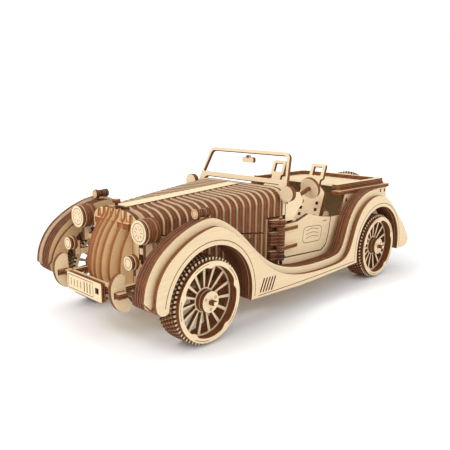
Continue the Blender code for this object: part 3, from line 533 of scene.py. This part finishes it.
def build_wings(look):
    face = (SIDE_OUT, 1)
    lines = [groove("X", arc(FRONT_ARCH, ARCH_R + 3.2, -8, 172, 60), 0.5, face),
             groove("X", arc(REAR_ARCH, ARCH_R + 3.2, -8, 188, 60), 0.5, face),
             groove("X", swept([(-66.0, 23.0), (-40.0, 22.6), (0.0, 22.6), (40.0, 23.2), (61.5, 23.6)], 4),
                    0.5, face)]
    main = sheet("X", [side_outline(0.0)] + [vent(k) for k in range(5)], SIDE_OUT - PLY, SIDE_OUT)
    make_pair("side_plate", [main] + lines, "chassis")
    rim = sheet("X", [side_outline(REAR_STEP)], RIM_IN, RIM_OUT)
    spacer = sheet("X", [side_outline(-3.4)], RIM_OUT + 0.05, SPACER_OUT)
    make_pair("rim_plate", [rim, spacer], "chassis")
    arch = arc(FRONT_ARCH, ARCH_R + 0.8, -12, 176, 50)
    front = np.vstack([crest(FRONT_STEP, high=FRONT_END), [(FRONT_END, 23.4)], arch,
                       [(-150.8, 30.8), (-155.0, 31.6), (-159.0, 34.6)]])
    rear = np.vstack([crest(REAR_STEP, low=REAR_START), [(162.4, 27.4), (160.0, 23.6), (153.7, 21.2)],
                      arc(REAR_ARCH, ARCH_R + 0.8, -12, 192, 50), [(10.0, 20.2), (REAR_START, 20.2)]])
    for name, outline, inner, count in (("front_wing", front, 49.6, 5), ("rear_wing", rear, 52.0, 4)):
        cuts = np.linspace(inner, STACK_OUT, count + 1)
        outlines = [stepped(outline, name)] + [outline] * (count - 1)
        stack = [sheet("X", [line], low + 0.04, high - 0.04, 0.2)
                 for line, low, high in zip(outlines, cuts[:-1], cuts[1:])]
        make_pair(name, stack, "chassis", "stack")


# ---- wheels ---------------------------------------------------------------------------------
def lobed(centre, radius, depth, lobes, count=180):
    """A circle that swells inwards in soft lobes: radius less depth times a narrow cosine bump."""
    a = np.linspace(0, 2 * np.pi, count, endpoint=False)
    bump = np.clip(np.cos(lobes * (a - np.pi / 2)), 0, 1) ** 6
    r = radius - depth * bump
    return np.stack([centre[0] + r * np.cos(a), centre[1] + r * np.sin(a)], 1)


def spoke_windows(centre, count, inner, outer, rim_share, hub_share):
    """The gaps between tapering spokes, each a rounded four-sided window."""
    pitch = 360.0 / count
    windows = []
    for k in range(count):
        m = 90.0 + (k + 0.5) * pitch
        far = arc(centre, outer, m + rim_share * pitch, m - rim_share * pitch, 5)
        near = arc(centre, inner, m - hub_share * pitch, m + hub_share * pitch, 3)
        windows.append(np.vstack([far, near]))
    return windows


def wheel_parts(y, look):
    """A layered wheel on the car's left: toothed tread sheets turned half a tooth against each
    other, a smooth ring outside, a spoked disc set back, and a stacked hub with its peg."""
    c = (y, AXLE_Z)
    parts = []
    edges = np.linspace(50.8, 66.4, 6)
    for k in range(5):
        tread = cog(c, 29.3, 27.2, look.tread_teeth, 0.5 * (k % 2), 0.52)
        parts.append(sheet("X", [tread, circle(c, 24.6, 60)], edges[k] + 0.03, edges[k + 1] - 0.03, 0.1))
    parts.append(sheet("X", [circle(c, 27.4, 96), lobed(c, 24.0, 1.6, 5)], 66.45, 69.4))
    for k in range(5):
        parts.append(groove("X", arc(c, 25.9, 72 * k + 22, 72 * k + 50, 14), 0.35, (69.4, 1)))
    windows = spoke_windows(c, look.spoke_count, 8.6, 23.1, 0.37, 0.31)
    parts.append(sheet("X", [circle(c, 24.6, 72)] + windows, 60.2, 63.0))
    parts.append(rod("X", c, 7.6, 63.05, 66.0))
    parts.append(rod("X", c, 7.3, 66.05, 69.2))
    parts.append(rod("X", c, 6.4, 56.0, 60.1))
    for k in range(3):
        spot = arc(c, 5.0, 120 * k + 30, 120 * k + 30, 1)[0]
        parts.append(groove("X", circle(spot, 0.75, 12), 0.35, (69.2, 1), True))
    peg = box_outline((y - 1.7, AXLE_Z - 1.4), (y + 1.7, AXLE_Z + 1.4), 0.4)
    parts.append(sheet("X", [peg], 68.0, 73.9))
    return parts


def build_wheels(look):
    for place, y in (("front", FRONT_Y), ("rear", REAR_Y)):
        parts = wheel_parts(y, look)
        if place == "front":
            make_pair("wheel_front", parts, "wheel_front", "pale", split=True)
        else:
            make_pair("wheel_rear", parts, "rear_axle_set", "pale")


# ---- bonnet ---------------------------------------------------------------------------------
RIB_Y = -127.0 + 6.0 * np.arange(19)


def along(y, front, rear):
    """A value that runs evenly from the first bonnet layer to the last."""
    return front + (rear - front) * (np.asarray(y) + 127.0) / 108.0


def half_width(y):
    """Half the bonnet's width, which grows as the 0.85 power of the way along it."""
    return 26.5 + 20.5 * ((np.asarray(y) + 127.0) / 108.0) ** 0.85


def lid_foot(y):
    """The lower edge of the opening half."""
    return 70.2 if y > -27.0 else float(along(y, 69.0, 58.0))


def section(y, inset, foot, near, count=14):
    """Half of the bonnet's section: flat to the shoulder, a quarter ellipse, then straight down."""
    wide, top = half_width(y) - inset, along(y, 86.2, 92.4) - inset
    drop, run, crown = along(y, 9.5, 8.5), along(y, 15.0, 10.5), along(y, 1.6, 0.8)
    a = np.radians(np.linspace(90, 0, count))
    curve = np.stack([wide - run + run * np.cos(a), top - crown - drop + drop * np.sin(a)], 1)
    return np.vstack([[(near, top)], curve, [(wide, foot)]])


def rib(y, foot, near, depth=5.5):
    """One layer of the bonnet."""
    outer = section(y, 0.0, foot, near)
    wide, top = half_width(y) - depth, along(y, 86.2, 92.4) - depth
    inner = np.array([(wide, foot), (wide, top - 9.0), (wide - 10.0, top - 1.6), (near, top)])
    return sheet("Y", [np.vstack([outer, inner])], y - PLY / 2, y + PLY / 2)


def filler(y, foot, near, depth=1.0):
    """A spacer between two layers, set in below them."""
    outer = section(y, depth, foot, near)
    wide, top = half_width(y) - 5.0, along(y, 86.2, 92.4) - 5.0
    inner = np.array([(wide, foot), (wide, top - 9.0), (wide - 10.0, top - 1.6), (near, top)])
    return sheet("Y", [np.vstack([outer, inner])], y - PLY / 2 + 0.05, y + PLY / 2 - 0.05)


SPINE_HALF = 6.2     # half the width of the strip along the top
SLOTTED = (12, 14)   # fixed layers with a dark cut-out half way up


def build_bonnet(look):
    near = SPINE_HALF + 0.5
    ribs = [rib(y, lid_foot(y), near) for y in RIB_Y]
    parts = ribs + [filler(y, lid_foot(y), near) for y in RIB_Y[:-1] + 3.0]
    make_pair("bonnet", parts, "bonnet", "rib", split=True)
    lower = []
    for k, y in enumerate(RIB_Y[:-2]):
        wide, top = half_width(y), float(along(y, 69.0, 58.0)) - 0.8
        foot = float(along(y, 44.0, 27.0))
        spans = ((foot, 46.0), (56.0, top)) if k in SLOTTED else ((foot, top),)
        for low, high in spans:
            outline = box_outline((wide - 5.5, low), (wide, high), 0.3)
            lower.append(sheet("Y", [outline], y - PLY / 2, y + PLY / 2))
    wall = []
    for y in np.linspace(-128.4, -29.6, 8):
        wide, top, foot = half_width(y), along(y, 69.0, 58.0) - 0.9, along(y, 44.0, 27.0) + 0.5
        loop = np.array([(wide - 1.6, foot), (wide - 1.6, top), (wide - 4.6, top), (wide - 4.6, foot)])
        wall.append(placed(loop, y, "Y"))
    make_pair("engine_side", lower + [loft(wall)], "chassis", "rib")

    low, high = -131.0, -17.8
    strip = sheet("Z", [box_outline((-SPINE_HALF, low), (SPINE_HALF, high))], 0.0, PLY)
    slope = np.degrees(np.arctan2(6.2, 108.0))
    lift = float(along(low, 86.2, 92.4)) - PLY
    strip = moved(strip, turn_x(slope), (0, low, 0), (0, 0, lift))
    web = np.array([(low + 1, lift - 4.5), (high - 1, lift + 1.7), (high - 1, lift + 6.3),
                    (low + 1, lift + 0.1)])
    web = sheet("X", [web], -1.5, 1.5)
    make("bonnet_spine_piece", [strip, web], "chassis", ["bonnet_spine"], "pale")


# ---- nose -----------------------------------------------------------------------------------
def slat(x):
    """One upright slat: its front falls back from the middle slat's as the 2.2 power of its offset."""
    nose = -153.4 + 7.0 * (abs(x) / 18.6) ** 2.2
    lead = swept([(nose + 6.5, 32.5), (nose + 1.2, 38.5), (nose, 45.0), (nose + 0.9, 54.0),
                  (nose + 3.6, 63.0), (nose + 8.2, 72.0), (min(nose + 14.5, -136.7), 80.0)], 6)
    top = 86.0 - 3.4 * (abs(x) / 18.6) ** 2
    line = np.vstack([[(-136.2, 30.0), (nose + 9.5, 30.0)], lead, [(-136.2, top)]])
    return sheet("X", [line], x - 1.35, x + 1.35)


def lamp(x, z, radii, levels, marks=True):
    """A lamp of stacked discs facing forwards; the front disc has a ring and ticks."""
    parts = [rod("Y", (x, z), r, a, b, 40) for r, (a, b) in zip(radii, levels)]
    if marks:
        r, front = radii[0], (levels[0][0], -1)
        parts.append(groove("Y", circle((x, z), r * 0.74, 32), 0.35, front, True))
        for a in range(0, 360, 45):
            spot = np.vstack([arc((x, z), r * 0.28, a, a, 1), arc((x, z), r * 0.55, a, a, 1)])
            parts.append(groove("Y", spot, 0.35, front))
    return parts


def build_nose(look):
    places = 6.2 * (np.arange(7) - 3)
    parts = [slat(x) for x in places]
    for z in (33.0, 54.0, 73.0):   # cross ties behind the slats
        parts.append(block((-19.6, -139.4, z), (19.6, -136.6, z + 4.0), "Z"))
    make("grille_slats_piece", parts, "chassis", ["grille_slats"], "grille")

    half = section(-127.0, 0.2, 44.0, 0.0)
    outline = np.vstack([half[1:], [(24.0, 30.0), (-24.0, 30.0)], half[:0:-1] * (-1, 1)])
    window = rounded([(-16, 40), (16, 40), (16, 70), (-16, 70)], 4.0)
    shell = [sheet("Y", [outline, window], -135.8, -132.8), rod("Z", (0, -134.3), 1.2, 85.0, 88.8, 16),
             rod("Z", (0, -134.3), 2.8, 88.6, 91.0, 24)]
    make("radiator_shell_piece", shell, "chassis", ["radiator_shell"], "stack")

    head = lamp(36.2, 74.7, (8.0, 7.6, 8.4, 8.1, 8.4, 3.0),
                ((-143.4, -141.5), (-141.4, -140.9), (-140.8, -137.8), (-137.7, -134.7), (-134.6, -131.5),
                 (-131.9, -129.6)))
    head += [block((34.7, -139.0, 57.0), (37.7, -133.4, 68.0), "X"),
             block((26.8, -135.8, 57.6), (36.0, -132.9, 62.0), "Y")]
    make_pair("headlight", head, "chassis", "pale")
    fog = lamp(36.3, 56.3, (4.6, 4.2, 5.0), ((-152.0, -150.0), (-149.9, -149.2), (-149.1, -146.6)), False)
    fog += [groove("Y", circle((36.3, 56.3), 3.0, 24), 0.35, (-152.0, -1), True),
            block((34.9, -147.0, 47.0), (37.7, -143.0, 57.4), "X"),
            block((34.9, -143.0, 47.0), (37.7, -133.4, 51.4), "X"),
            block((26.8, -135.8, 47.6), (36.0, -132.9, 50.8), "Y")]
    make_pair("fog_lamp", fog, "chassis", "pale")
    marker = lamp(57.6, 86.0, (3.3, 2.7, 3.1), ((-115.0, -112.8), (-112.75, -106.9), (-106.85, -103.7)),
                  False)
    marker += [groove("Y", circle((57.6, 86.0), 2.2, 24), 0.35, (-115.0, -1), True),
               block((56.6, -111.6, 81.9), (58.6, -107.6, 84.0), "X")]
    make_pair("marker_lamp", marker, "chassis", "stack")


OVERRIDER = [(-154.2, 49.0), (-157.5, 50.8), (-161.6, 49.0), (-164.4, 44.6), (-164.9, 39.0), (-163.6, 33.0),
             (-160.6, 28.2), (-156.4, 25.2), (-152.2, 24.6), (-149.6, 27.0), (-150.6, 31.6), (-153.4, 37.0)]


def doubled(right, left, front, back):
    """Two thin sheets, one on the other."""
    return [block((right, front, low), (left, back, high), "Z")
            for low, high in ((35.6, 37.25), (37.3, 39.0))]


def build_bumper(look):
    edge = swept(OVERRIDER + OVERRIDER[:1], 5)[:-1]
    window = box_outline((-162.6, 35.2), (-155.2, 39.4))
    make_pair("overrider", [sheet("X", [edge, window], 33.0, 36.0)], "chassis")
    bar = doubled(-32.6, 32.6, -158.6, -152.6)
    for side in (-1, 1):
        bar += doubled(side * 36 - 4.5, side * 36 + 4.5, -162.2, -155.6)
        bar.append(block((side * 28.5 - 1.5, -154.0, 35.6), (side * 28.5 + 1.5, -139.0, 39.0), "Z"))
    make("bumper_bar_piece", bar, "chassis", ["bumper_bar"], "warm")
    plate = [sheet("Y", [rounded([(-21, 28.5), (21, 28.5), (21, 41.5), (-21, 41.5)], 1.2, 3),
                         box_outline((13.8, 33.6), (17.6, 37.4))], -162.0, -159.0)]
    for x in (0.5, 4.0, 7.5):
        plate.append(groove("Y", [(x, 31.5), (x, 38.5)], 0.9, (-162.0, -1)))
    frame_line = rounded([(-19.4, 30.2), (11.0, 30.2), (11.0, 39.8), (-19.4, 39.8)], 0.8, 3)
    plate.append(groove("Y", frame_line, 0.4, (-162.0, -1), True))
    for x in (-16.0, -12.0, -8.0, -4.0):
        plate.append(groove("Y", [(x, 32.6), (x, 37.4)], 0.6, (-162.0, -1)))
    make("number_plate_piece", plate, "chassis", ["number_plate"])


# ---- cabin ----------------------------------------------------------------------------------
def horseshoe(outer_x, front, back, inner_x, inner_back, corner, steps=40):
    """A U-shaped outline, open to the front, with a flattened half-oval inside."""
    corners = [(outer_x, front, 0.3), (outer_x, back, corner), (-outer_x, back, corner),
               (-outer_x, front, 0.3)]
    outer = rounded(corners, 0.3, 6)
    a = np.linspace(0, np.pi, steps)
    inner = np.stack([-inner_x * np.cos(a), front + (inner_back - front) * np.sin(a) ** 0.6], 1)
    return np.vstack([outer, inner])


BODY_SIDE = [(-13.8, 26.7), (74.0, 26.7), (80.0, 44.0), (149.8, 44.0), (149.8, 79.0), (73.0, 79.0),
             (70.2, 70.0), (66.9, 61.4), (52.95, 61.4), (50.75, 47.8), (47.2, 37.8), (40.3, 33.4),
             (-10.4, 36.0), (-13.8, 36.0)]
PEG_HOLES = ((75.2, 72.0), (84.0, 73.4), (137.0, 74.6), (144.6, 74.6))
DOOR = [(-13.4, 41.0), (-9.6, 36.8), (40.0, 34.2), (46.5, 38.5), (50.0, 48.0), (52.2, 61.6), (37.0, 63.8),
        (19.5, 68.2), (4.6, 63.8), (-13.4, 63.4)]
PIN = (51.5, -19.0)


def build_doors(look):
    windows = [box_outline((y, z), (y + 2.2, z + 3.0)) for y, z in PEG_HOLES]
    sides = [sheet("X", [np.array(BODY_SIDE)] + windows, 47.0, 50.0)]
    make_pair("body_side", sides, "chassis")
    leaf = rounded([(y, z, 1.2) for y, z in DOOR], 1.2, 4)
    parts = [sheet("X", [leaf], 47.0, 50.0)]
    badge = rounded([(12.0, 44.0), (38.0, 43.0), (40.0, 56.0), (14.0, 57.5)], 5.0, 6)
    face = (50.0, 1)
    parts.append(groove("X", badge, 0.45, face, True))
    for k in range(3):
        wave = [(17.0, 47.4 + 3.2 * k), (26.0, 48.6 + 3.2 * k), (35.0, 46.8 + 3.2 * k)]
        parts.append(groove("X", swept(wave, 5), 0.4, face))
    parts.append(groove("X", [(41.0, 59.6), (46.5, 59.2)], 0.6, face))
    for z in (46.2, 61.0):
        knuckle = arc(PIN, 3.6, 150.0, 360.0, 24)
        hole = circle(PIN, 1.7, 20)
        outline = np.vstack([[(54.8, -1.0), (47.6, -1.0), (47.6, -12.4)], knuckle])
        parts.append(sheet("Z", [outline, hole], z - 1.5, z + 1.5))
    make_pair("door", parts, "door", "pale", split=True)
    post = [sheet("Y", [box_outline((41.0, 26.7), (46.6, 69.4))], low, low + 2.84)
            for low in -29.0 + 2.88 * np.arange(5)]
    for low, high in ((36.6, 44.1), (48.3, 58.9), (63.1, 68.6)):
        outline = np.vstack([[(46.7, -28.4), (49.9, -28.4)], arc(PIN, 3.6, -80.0, 70.0, 16), [(46.7, -15.2)]])
        count = max(1, int(round((high - low) / PLY)))
        cuts = np.linspace(low, high, count + 1)
        post += [sheet("Z", [outline], a + 0.03, b - 0.03) for a, b in zip(cuts[:-1], cuts[1:])]
    post.append(rod("Z", PIN, 1.3, 38.0, 70.2, 16))
    make_pair("hinge_pillar", post, "chassis", "stack")


def leaning(parts, lean, foot):
    """Parts drawn upright on the plane Y = 0, tipped about the X axis and set on a foot point."""
    return [moved(one, turn_x(-lean), shift=(0, foot[0], foot[1])) for one in parts]


def build_screen(look):
    feet, head, tall = 49.6, 44.6, 25.6
    outer = rounded([(-feet, -5.4, 1.0), (-feet + 3.4, -5.4, 0.1), (-feet + 9.0, -0.6, 3.0),
                     (feet - 9.0, -0.6, 3.0), (feet - 3.4, -5.4, 0.1), (feet, -5.4, 1.0),
                     (head, tall, 6.0), (-head, tall, 6.0)], 1.0, 8)
    window = rounded([(-feet + 3.4, 3.4, 1.0), (feet - 3.4, 3.4, 1.0), (head - 2.7, tall - 2.7, 4.0),
                      (-head + 2.7, tall - 2.7, 4.0)], 1.0, 8)
    screen = leaning([sheet("Y", [outer, window], -1.5, 1.5)], 20.0, (-8.2, 94.2))
    make("windscreen_frame_piece", screen, "chassis", ["windscreen_frame"], "pale")
    glass = rounded([(-6.4, 108.0), (6.4, 108.0), (6.4, 112.4), (-6.4, 112.4)], 1.4, 4)
    mirror = [sheet("Y", [glass], -1.2, 1.8), block((-1.5, -1.6, 112.0), (1.5, 1.4, 114.0), "X")]
    make("rear_view_mirror_piece", mirror, "chassis", ["rear_view_mirror"], "pale")
    wing_mirror = [rod("Y", (54.4, 88.6), 6.2, -17.0, -14.7, 40),
                   rod("Y", (54.4, 88.6), 5.9, -14.6, -12.2, 40),
                   block((48.0, -13.6, 80.4), (53.0, -12.4, 86.0), "Y")]
    make_pair("side_mirror", wing_mirror, "chassis")
    lip = np.array([(38.0, 92.6), (43.4, 91.6), (46.0, 90.0), (47.0, 88.8), (47.4, 86.0), (47.4, 70.2),
                    (40.6, 70.2)])
    outline = np.vstack([lip, lip[::-1] * (-1, 1)])
    cowl = [sheet("Y", [outline], -14.0, -11.8)]
    for side in (-1, 1):
        cowl.append(block((side * 46.0 - 1.2, -12.0, 70.4), (side * 46.0 + 1.2, -8.6, 86.0), "X"))
    make("cowl_piece", cowl, "chassis", ["cowl"], "pale")
    board = [block((-45.0, -4.0, 70.0), (45.0, -1.0, 89.0), "Y")]
    knee = [(-8.0, 65.0), (2.0, 65.0), (15.0, 79.0), (10.0, 87.0), (-4.0, 88.0), (-8.0, 86.0)]
    outline = rounded(knee, 1.0, 3)
    board += [sheet("X", [outline], side, side + PLY) for side in (-47.2, 44.2)]
    for x in (-8.0, 8.0):
        board.append(groove("Y", circle((x, 81.0), 4.0, 32), 0.4, (-1.0, 1), True))
        board.append(groove("Y", [(x, 81.0), (x + 2.4, 83.2)], 0.4, (-1.0, 1)))
    make("dashboard_piece", board, "chassis", ["dashboard"], "pale")


def build_seats(look):
    x, half = 22.6, 15.0
    cut = rounded([(29.0, 26.7, 1.0), (60.0, 26.7, 1.0), (69.0, 62.0, 3.0), (61.0, 64.0, 3.0),
                   (51.0, 47.0, 4.0), (29.0, 45.0, 3.0)], 1.0, 5)
    parts = [sheet("X", [cut], side, side + PLY) for side in (x - half, x + half - PLY)]
    parts.append(block((x - half + 1.2, 30.0, 40.0), (x + half - 1.2, 53.0, 43.0), "Z"))
    w = half - 1.6
    right = [(w, -4.0, 1.0), (w, 38.0, 5.0), (5.4, 44.0, 3.0), (5.4, 48.6, 1.0), (7.8, 50.0, 1.0),
             (7.8, 63.4, 2.0)]
    corners = [(x - a, b, r) for a, b, r in right][::-1]
    outline = rounded([(x + a, b, r) for a, b, r in right] + corners, 1.0, 5)
    windows = [rounded([(x - 4.4, 52.4), (x + 4.4, 52.4), (x + 4.4, 60.6), (x - 4.4, 60.6)], 0.6, 3)]
    windows += [box_outline((x + 6.6, z), (x + 9.4, z + 2.6)) for z in (8.0, 14.0, 20.0, 26.0)]
    windows += [box_outline((x - 9.4, z), (x - 6.6, z + 2.6)) for z in (8.0, 14.0, 20.0, 26.0)]
    parts += leaning([sheet("Y", [outline] + windows, -1.5, 1.5)], 20.0, (51.0, 44.0))
    make_pair("seat", parts, "chassis")


def build_controls(look):
    at = np.array([31.6, 45.0, 84.8])
    wheel = [rod("Y", (at[0], at[2]), 9.5, at[1], at[1] + PLY, 48),
             rod("Y", (at[0], at[2]), 1.8, at[1] - 46.6, at[1] + 1, 16)]
    wheel = [moved(one, turn_x(17.0), at) for one in wheel]
    make("steering_wheel_piece", wheel, "steering_wheel", ["steering_wheel"], "pale")
    y, z = 24.0, 31.5
    stick = [(y - 2.4, z - 3.0), (y + 2.4, z - 3.0), (y + 1.4, z + 30.0), (y - 1.4, z + 30.0)]
    lever = [sheet("X", [rounded(stick, 1.0)], -1.5, 1.5), rod("X", (y, z + 31.0), 3.4, -2.0, 2.0, 24)]
    make("drive_lever_piece", lever, "drive_lever", ["drive_lever"], "pale")


def build_tail(look):
    belt = [sheet("Z", [horseshoe(51.4, 62.0, 154.4, 43.0, 128.0, 5.0)], 79.3, 82.3)]
    make("belt_rail_piece", belt, "chassis", ["belt_rail"], "warm")
    a = np.linspace(0, np.pi, 25)
    front = np.stack([-47.0 * np.cos(a), 74.0 + 5.0 * np.sin(a)], 1)
    deck = [sheet("Z", [np.vstack([front, [(47.0, 148.0), (-47.0, 148.0)]])], 82.6, 84.2)]
    make("rear_deck_piece", deck, "chassis", ["rear_deck"], "pale")
    corners = [(48.4, 62.7, 0.3), (48.4, 146.0, 4.0), (-48.4, 146.0, 4.0), (-48.4, 62.7, 0.3),
               (-43.2, 62.7, 0.3), (-43.2, 140.0, 6.0), (43.2, 140.0, 6.0), (43.2, 62.7, 0.3)]
    rim = [sheet("Z", [rounded(corners, 1.0, 6)], 84.5, 88.0)]
    make("deck_rim_piece", rim, "chassis", ["deck_rim"], "pale")
    outline = rounded([(-45.5, 30.0), (45.5, 30.0), (46.5, 78.9), (-46.5, 78.9)], 2.0)
    tail = [sheet("Y", [outline], 150.2, 153.2)]
    for side in (-1, 1):
        tail.append(groove("Y", circle((side * 32.0, 52.0), 4.0, 32), 0.5, (153.2, 1), True))
    make("tail_panel_piece", tail, "chassis", ["tail_panel"], "pale")
    c = (0.0, 60.0)
    spare = []
    for k, (a, b) in enumerate(((155.2, 157.9), (158.0, 160.6))):
        spare.append(sheet("Y", [cog(c, 29.3, 27.7, look.tread_teeth, 0.5 * k, 0.52)], a, b, 0.1))
    spare.append(sheet("Y", [circle(c, 28.7, 96), lobed(c, 22.8, 1.7, 5)], 160.7, 162.6))
    spare.append(rod("Y", c, 6.0, 153.6, 155.1))
    spare.append(rod("Y", c, 6.0, 160.6, 163.4))
    spare.append(rod("Y", c, 2.6, 163.3, 164.9, 6))
    for k in range(look.spoke_count):
        a = 360.0 / look.spoke_count * k
        spare.append(groove("Y", np.vstack([arc(c, 7.5, a, a, 1), arc(c, 21.5, a, a, 1)]), 1.0, (160.6, 1)))
    make("spare_wheel_piece", spare, "chassis", ["spare_wheel"], "pale")


def keep_nodes(look):
    """Hidden running gear keeps its own meshes and takes the kit's plywood."""
    kept = {"floor_plate": "Z", "front_axle": "X", "front_axle_block": "Z", "rear_axle": "X",
            "rear_axle_gear": "X", "motor_drum": "X", "motor_frame": "X", "engine_block": "Z",
            "firewall": "Y"}
    for name, axis in kept.items():
        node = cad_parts[name]
        for slot in node.material_slots:
            slot.material = finish_of("kept_" + axis)


# ---- stage ----------------------------------------------------------------------------------
CAMERA_PLACE, CAMERA_ANGLES = (0.3057, -0.343, 0.1497), (44.26, 78.22, 0.64)
LENS, LENS_SHIFT = 43.2, (0.0027, -0.0013)


def build_stage(look):
    """A pale floor, two wide suns and the camera."""
    scene = bpy.context.scene
    bpy.ops.mesh.primitive_plane_add(size=30.0, location=(0, 0, -0.0002))
    floor = bpy.context.active_object
    floor.name = "floor"
    paint = bpy.data.materials.new("floor_white")
    paint.use_nodes = True
    inputs = paint.node_tree.nodes["Principled BSDF"].inputs
    inputs["Base Color"].default_value = (0.98, 0.98, 0.98, 1)
    inputs["Roughness"].default_value = 0.9
    inputs["Specular IOR Level"].default_value = 0.1
    floor.data.materials.append(paint)
    world = bpy.data.worlds.new("studio")
    scene.world = world
    world.use_nodes = True
    world.node_tree.nodes["Background"].inputs["Color"].default_value = (1.0, 1.0, 1.0, 1)
    world.node_tree.nodes["Background"].inputs["Strength"].default_value = look.ambience
    for name, place, power, spread in (("key", (-0.5, -1.2, 1.5), look.key_power, 25.0),
                                       ("fill", (1.3, -0.3, 0.7), look.key_power * 0.5, 60.0)):
        data = bpy.data.lights.new(name, "SUN")
        data.energy = power
        data.angle = np.radians(spread)
        light = bpy.data.objects.new(name, data)
        light.location = place
        light.rotation_euler = (-Vector(place)).to_track_quat("-Z", "Y").to_euler()
        scene.collection.objects.link(light)
    data = bpy.data.cameras.new("camera")
    data.lens = LENS
    data.sensor_width = 36.0
    data.shift_x, data.shift_y = LENS_SHIFT
    camera = bpy.data.objects.new("camera", data)
    heading, tilt, roll = np.radians(CAMERA_ANGLES)
    camera.matrix_world = (Matrix.Translation(CAMERA_PLACE) @ Matrix.Rotation(heading, 4, "Z")
                           @ Matrix.Rotation(tilt, 4, "X") @ Matrix.Rotation(roll, 4, "Z"))
    scene.collection.objects.link(camera)
    scene.camera = camera
    scene.view_settings.view_transform = "Standard"


# ---- add-on ---------------------------------------------------------------------------------
class RoadsterLook(bpy.types.PropertyGroup):
    """Sizes and colours that a maker would change."""

    face_colour: FloatVectorProperty(name="Face", description="Colour of a sheet's face", subtype="COLOR",
                                     size=3, min=0, max=1, default=(0.80, 0.64, 0.42))
    toasted_colour: FloatVectorProperty(name="Toasted face", description="Colour of the browned faces",
                                        subtype="COLOR", size=3, min=0, max=1, default=(0.76, 0.53, 0.29))
    edge_colour: FloatVectorProperty(name="Burnt edge", description="Colour the laser leaves on an edge",
                                     subtype="COLOR", size=3, min=0, max=1, default=(0.064, 0.022, 0.013))
    glow_colour: FloatVectorProperty(name="Edge ply", description="Lighter ply seen in a burnt edge",
                                     subtype="COLOR", size=3, min=0, max=1, default=(0.40, 0.13, 0.032))
    tread_teeth: IntProperty(name="Tread teeth", description="Teeth round each tyre layer", default=58,
                             min=24, max=90)
    spoke_count: IntProperty(name="Spokes", description="Spokes in each wheel", default=15, min=6, max=30)
    key_power: FloatProperty(name="Key light", description="Strength of the main light", default=1.1, min=0.0)
    ambience: FloatProperty(name="Ambient light", description="Strength of the light from all round",
                            default=1.0, min=0.0)


GROUPS = (("wings", "Wings and running boards", build_wings), ("wheels", "Wheels", build_wheels),
          ("bonnet", "Bonnet", build_bonnet), ("nose", "Grille and lamps", build_nose),
          ("bumper", "Bumper and number plate", build_bumper), ("doors", "Doors and sides", build_doors),
          ("screen", "Windscreen and mirrors", build_screen), ("seats", "Seats", build_seats),
          ("controls", "Steering wheel and lever", build_controls),
          ("tail", "Tail and spare wheel", build_tail),
          ("gear", "Running gear", keep_nodes), ("stage", "Stage", build_stage))


def operator_for(key, label, build):
    """An operator that builds one group of pieces."""
    def execute(self, context):
        build(context.scene.roadster_look)
        return {"FINISHED"}

    return type("ROADSTER_OT_" + key, (bpy.types.Operator,),
                {"__doc__": label, "bl_idname": "roadster." + key, "bl_label": label, "execute": execute})


OPERATORS = [operator_for(*group) for group in GROUPS]


class ROADSTER_PT_panel(bpy.types.Panel):
    """Lists the kit's groups and its settings."""

    bl_label = "Roadster"
    bl_space_type = "VIEW_3D"
    bl_region_type = "UI"
    bl_category = "Roadster"

    def draw(self, context):
        for key, _, _ in GROUPS:
            self.layout.operator("roadster." + key)
        for name in RoadsterLook.__annotations__:
            self.layout.prop(context.scene.roadster_look, name)


def register():
    for cls in [RoadsterLook, *OPERATORS, ROADSTER_PT_panel]:
        bpy.utils.register_class(cls)
    bpy.types.Scene.roadster_look = PointerProperty(type=RoadsterLook)


def unregister():
    del bpy.types.Scene.roadster_look
    for cls in [ROADSTER_PT_panel, *reversed(OPERATORS), RoadsterLook]:
        bpy.utils.unregister_class(cls)


def main():
    register()
    for key, _, _ in GROUPS:
        getattr(bpy.ops.roadster, key)()
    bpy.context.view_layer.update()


if __name__ == "__main__":
    main()
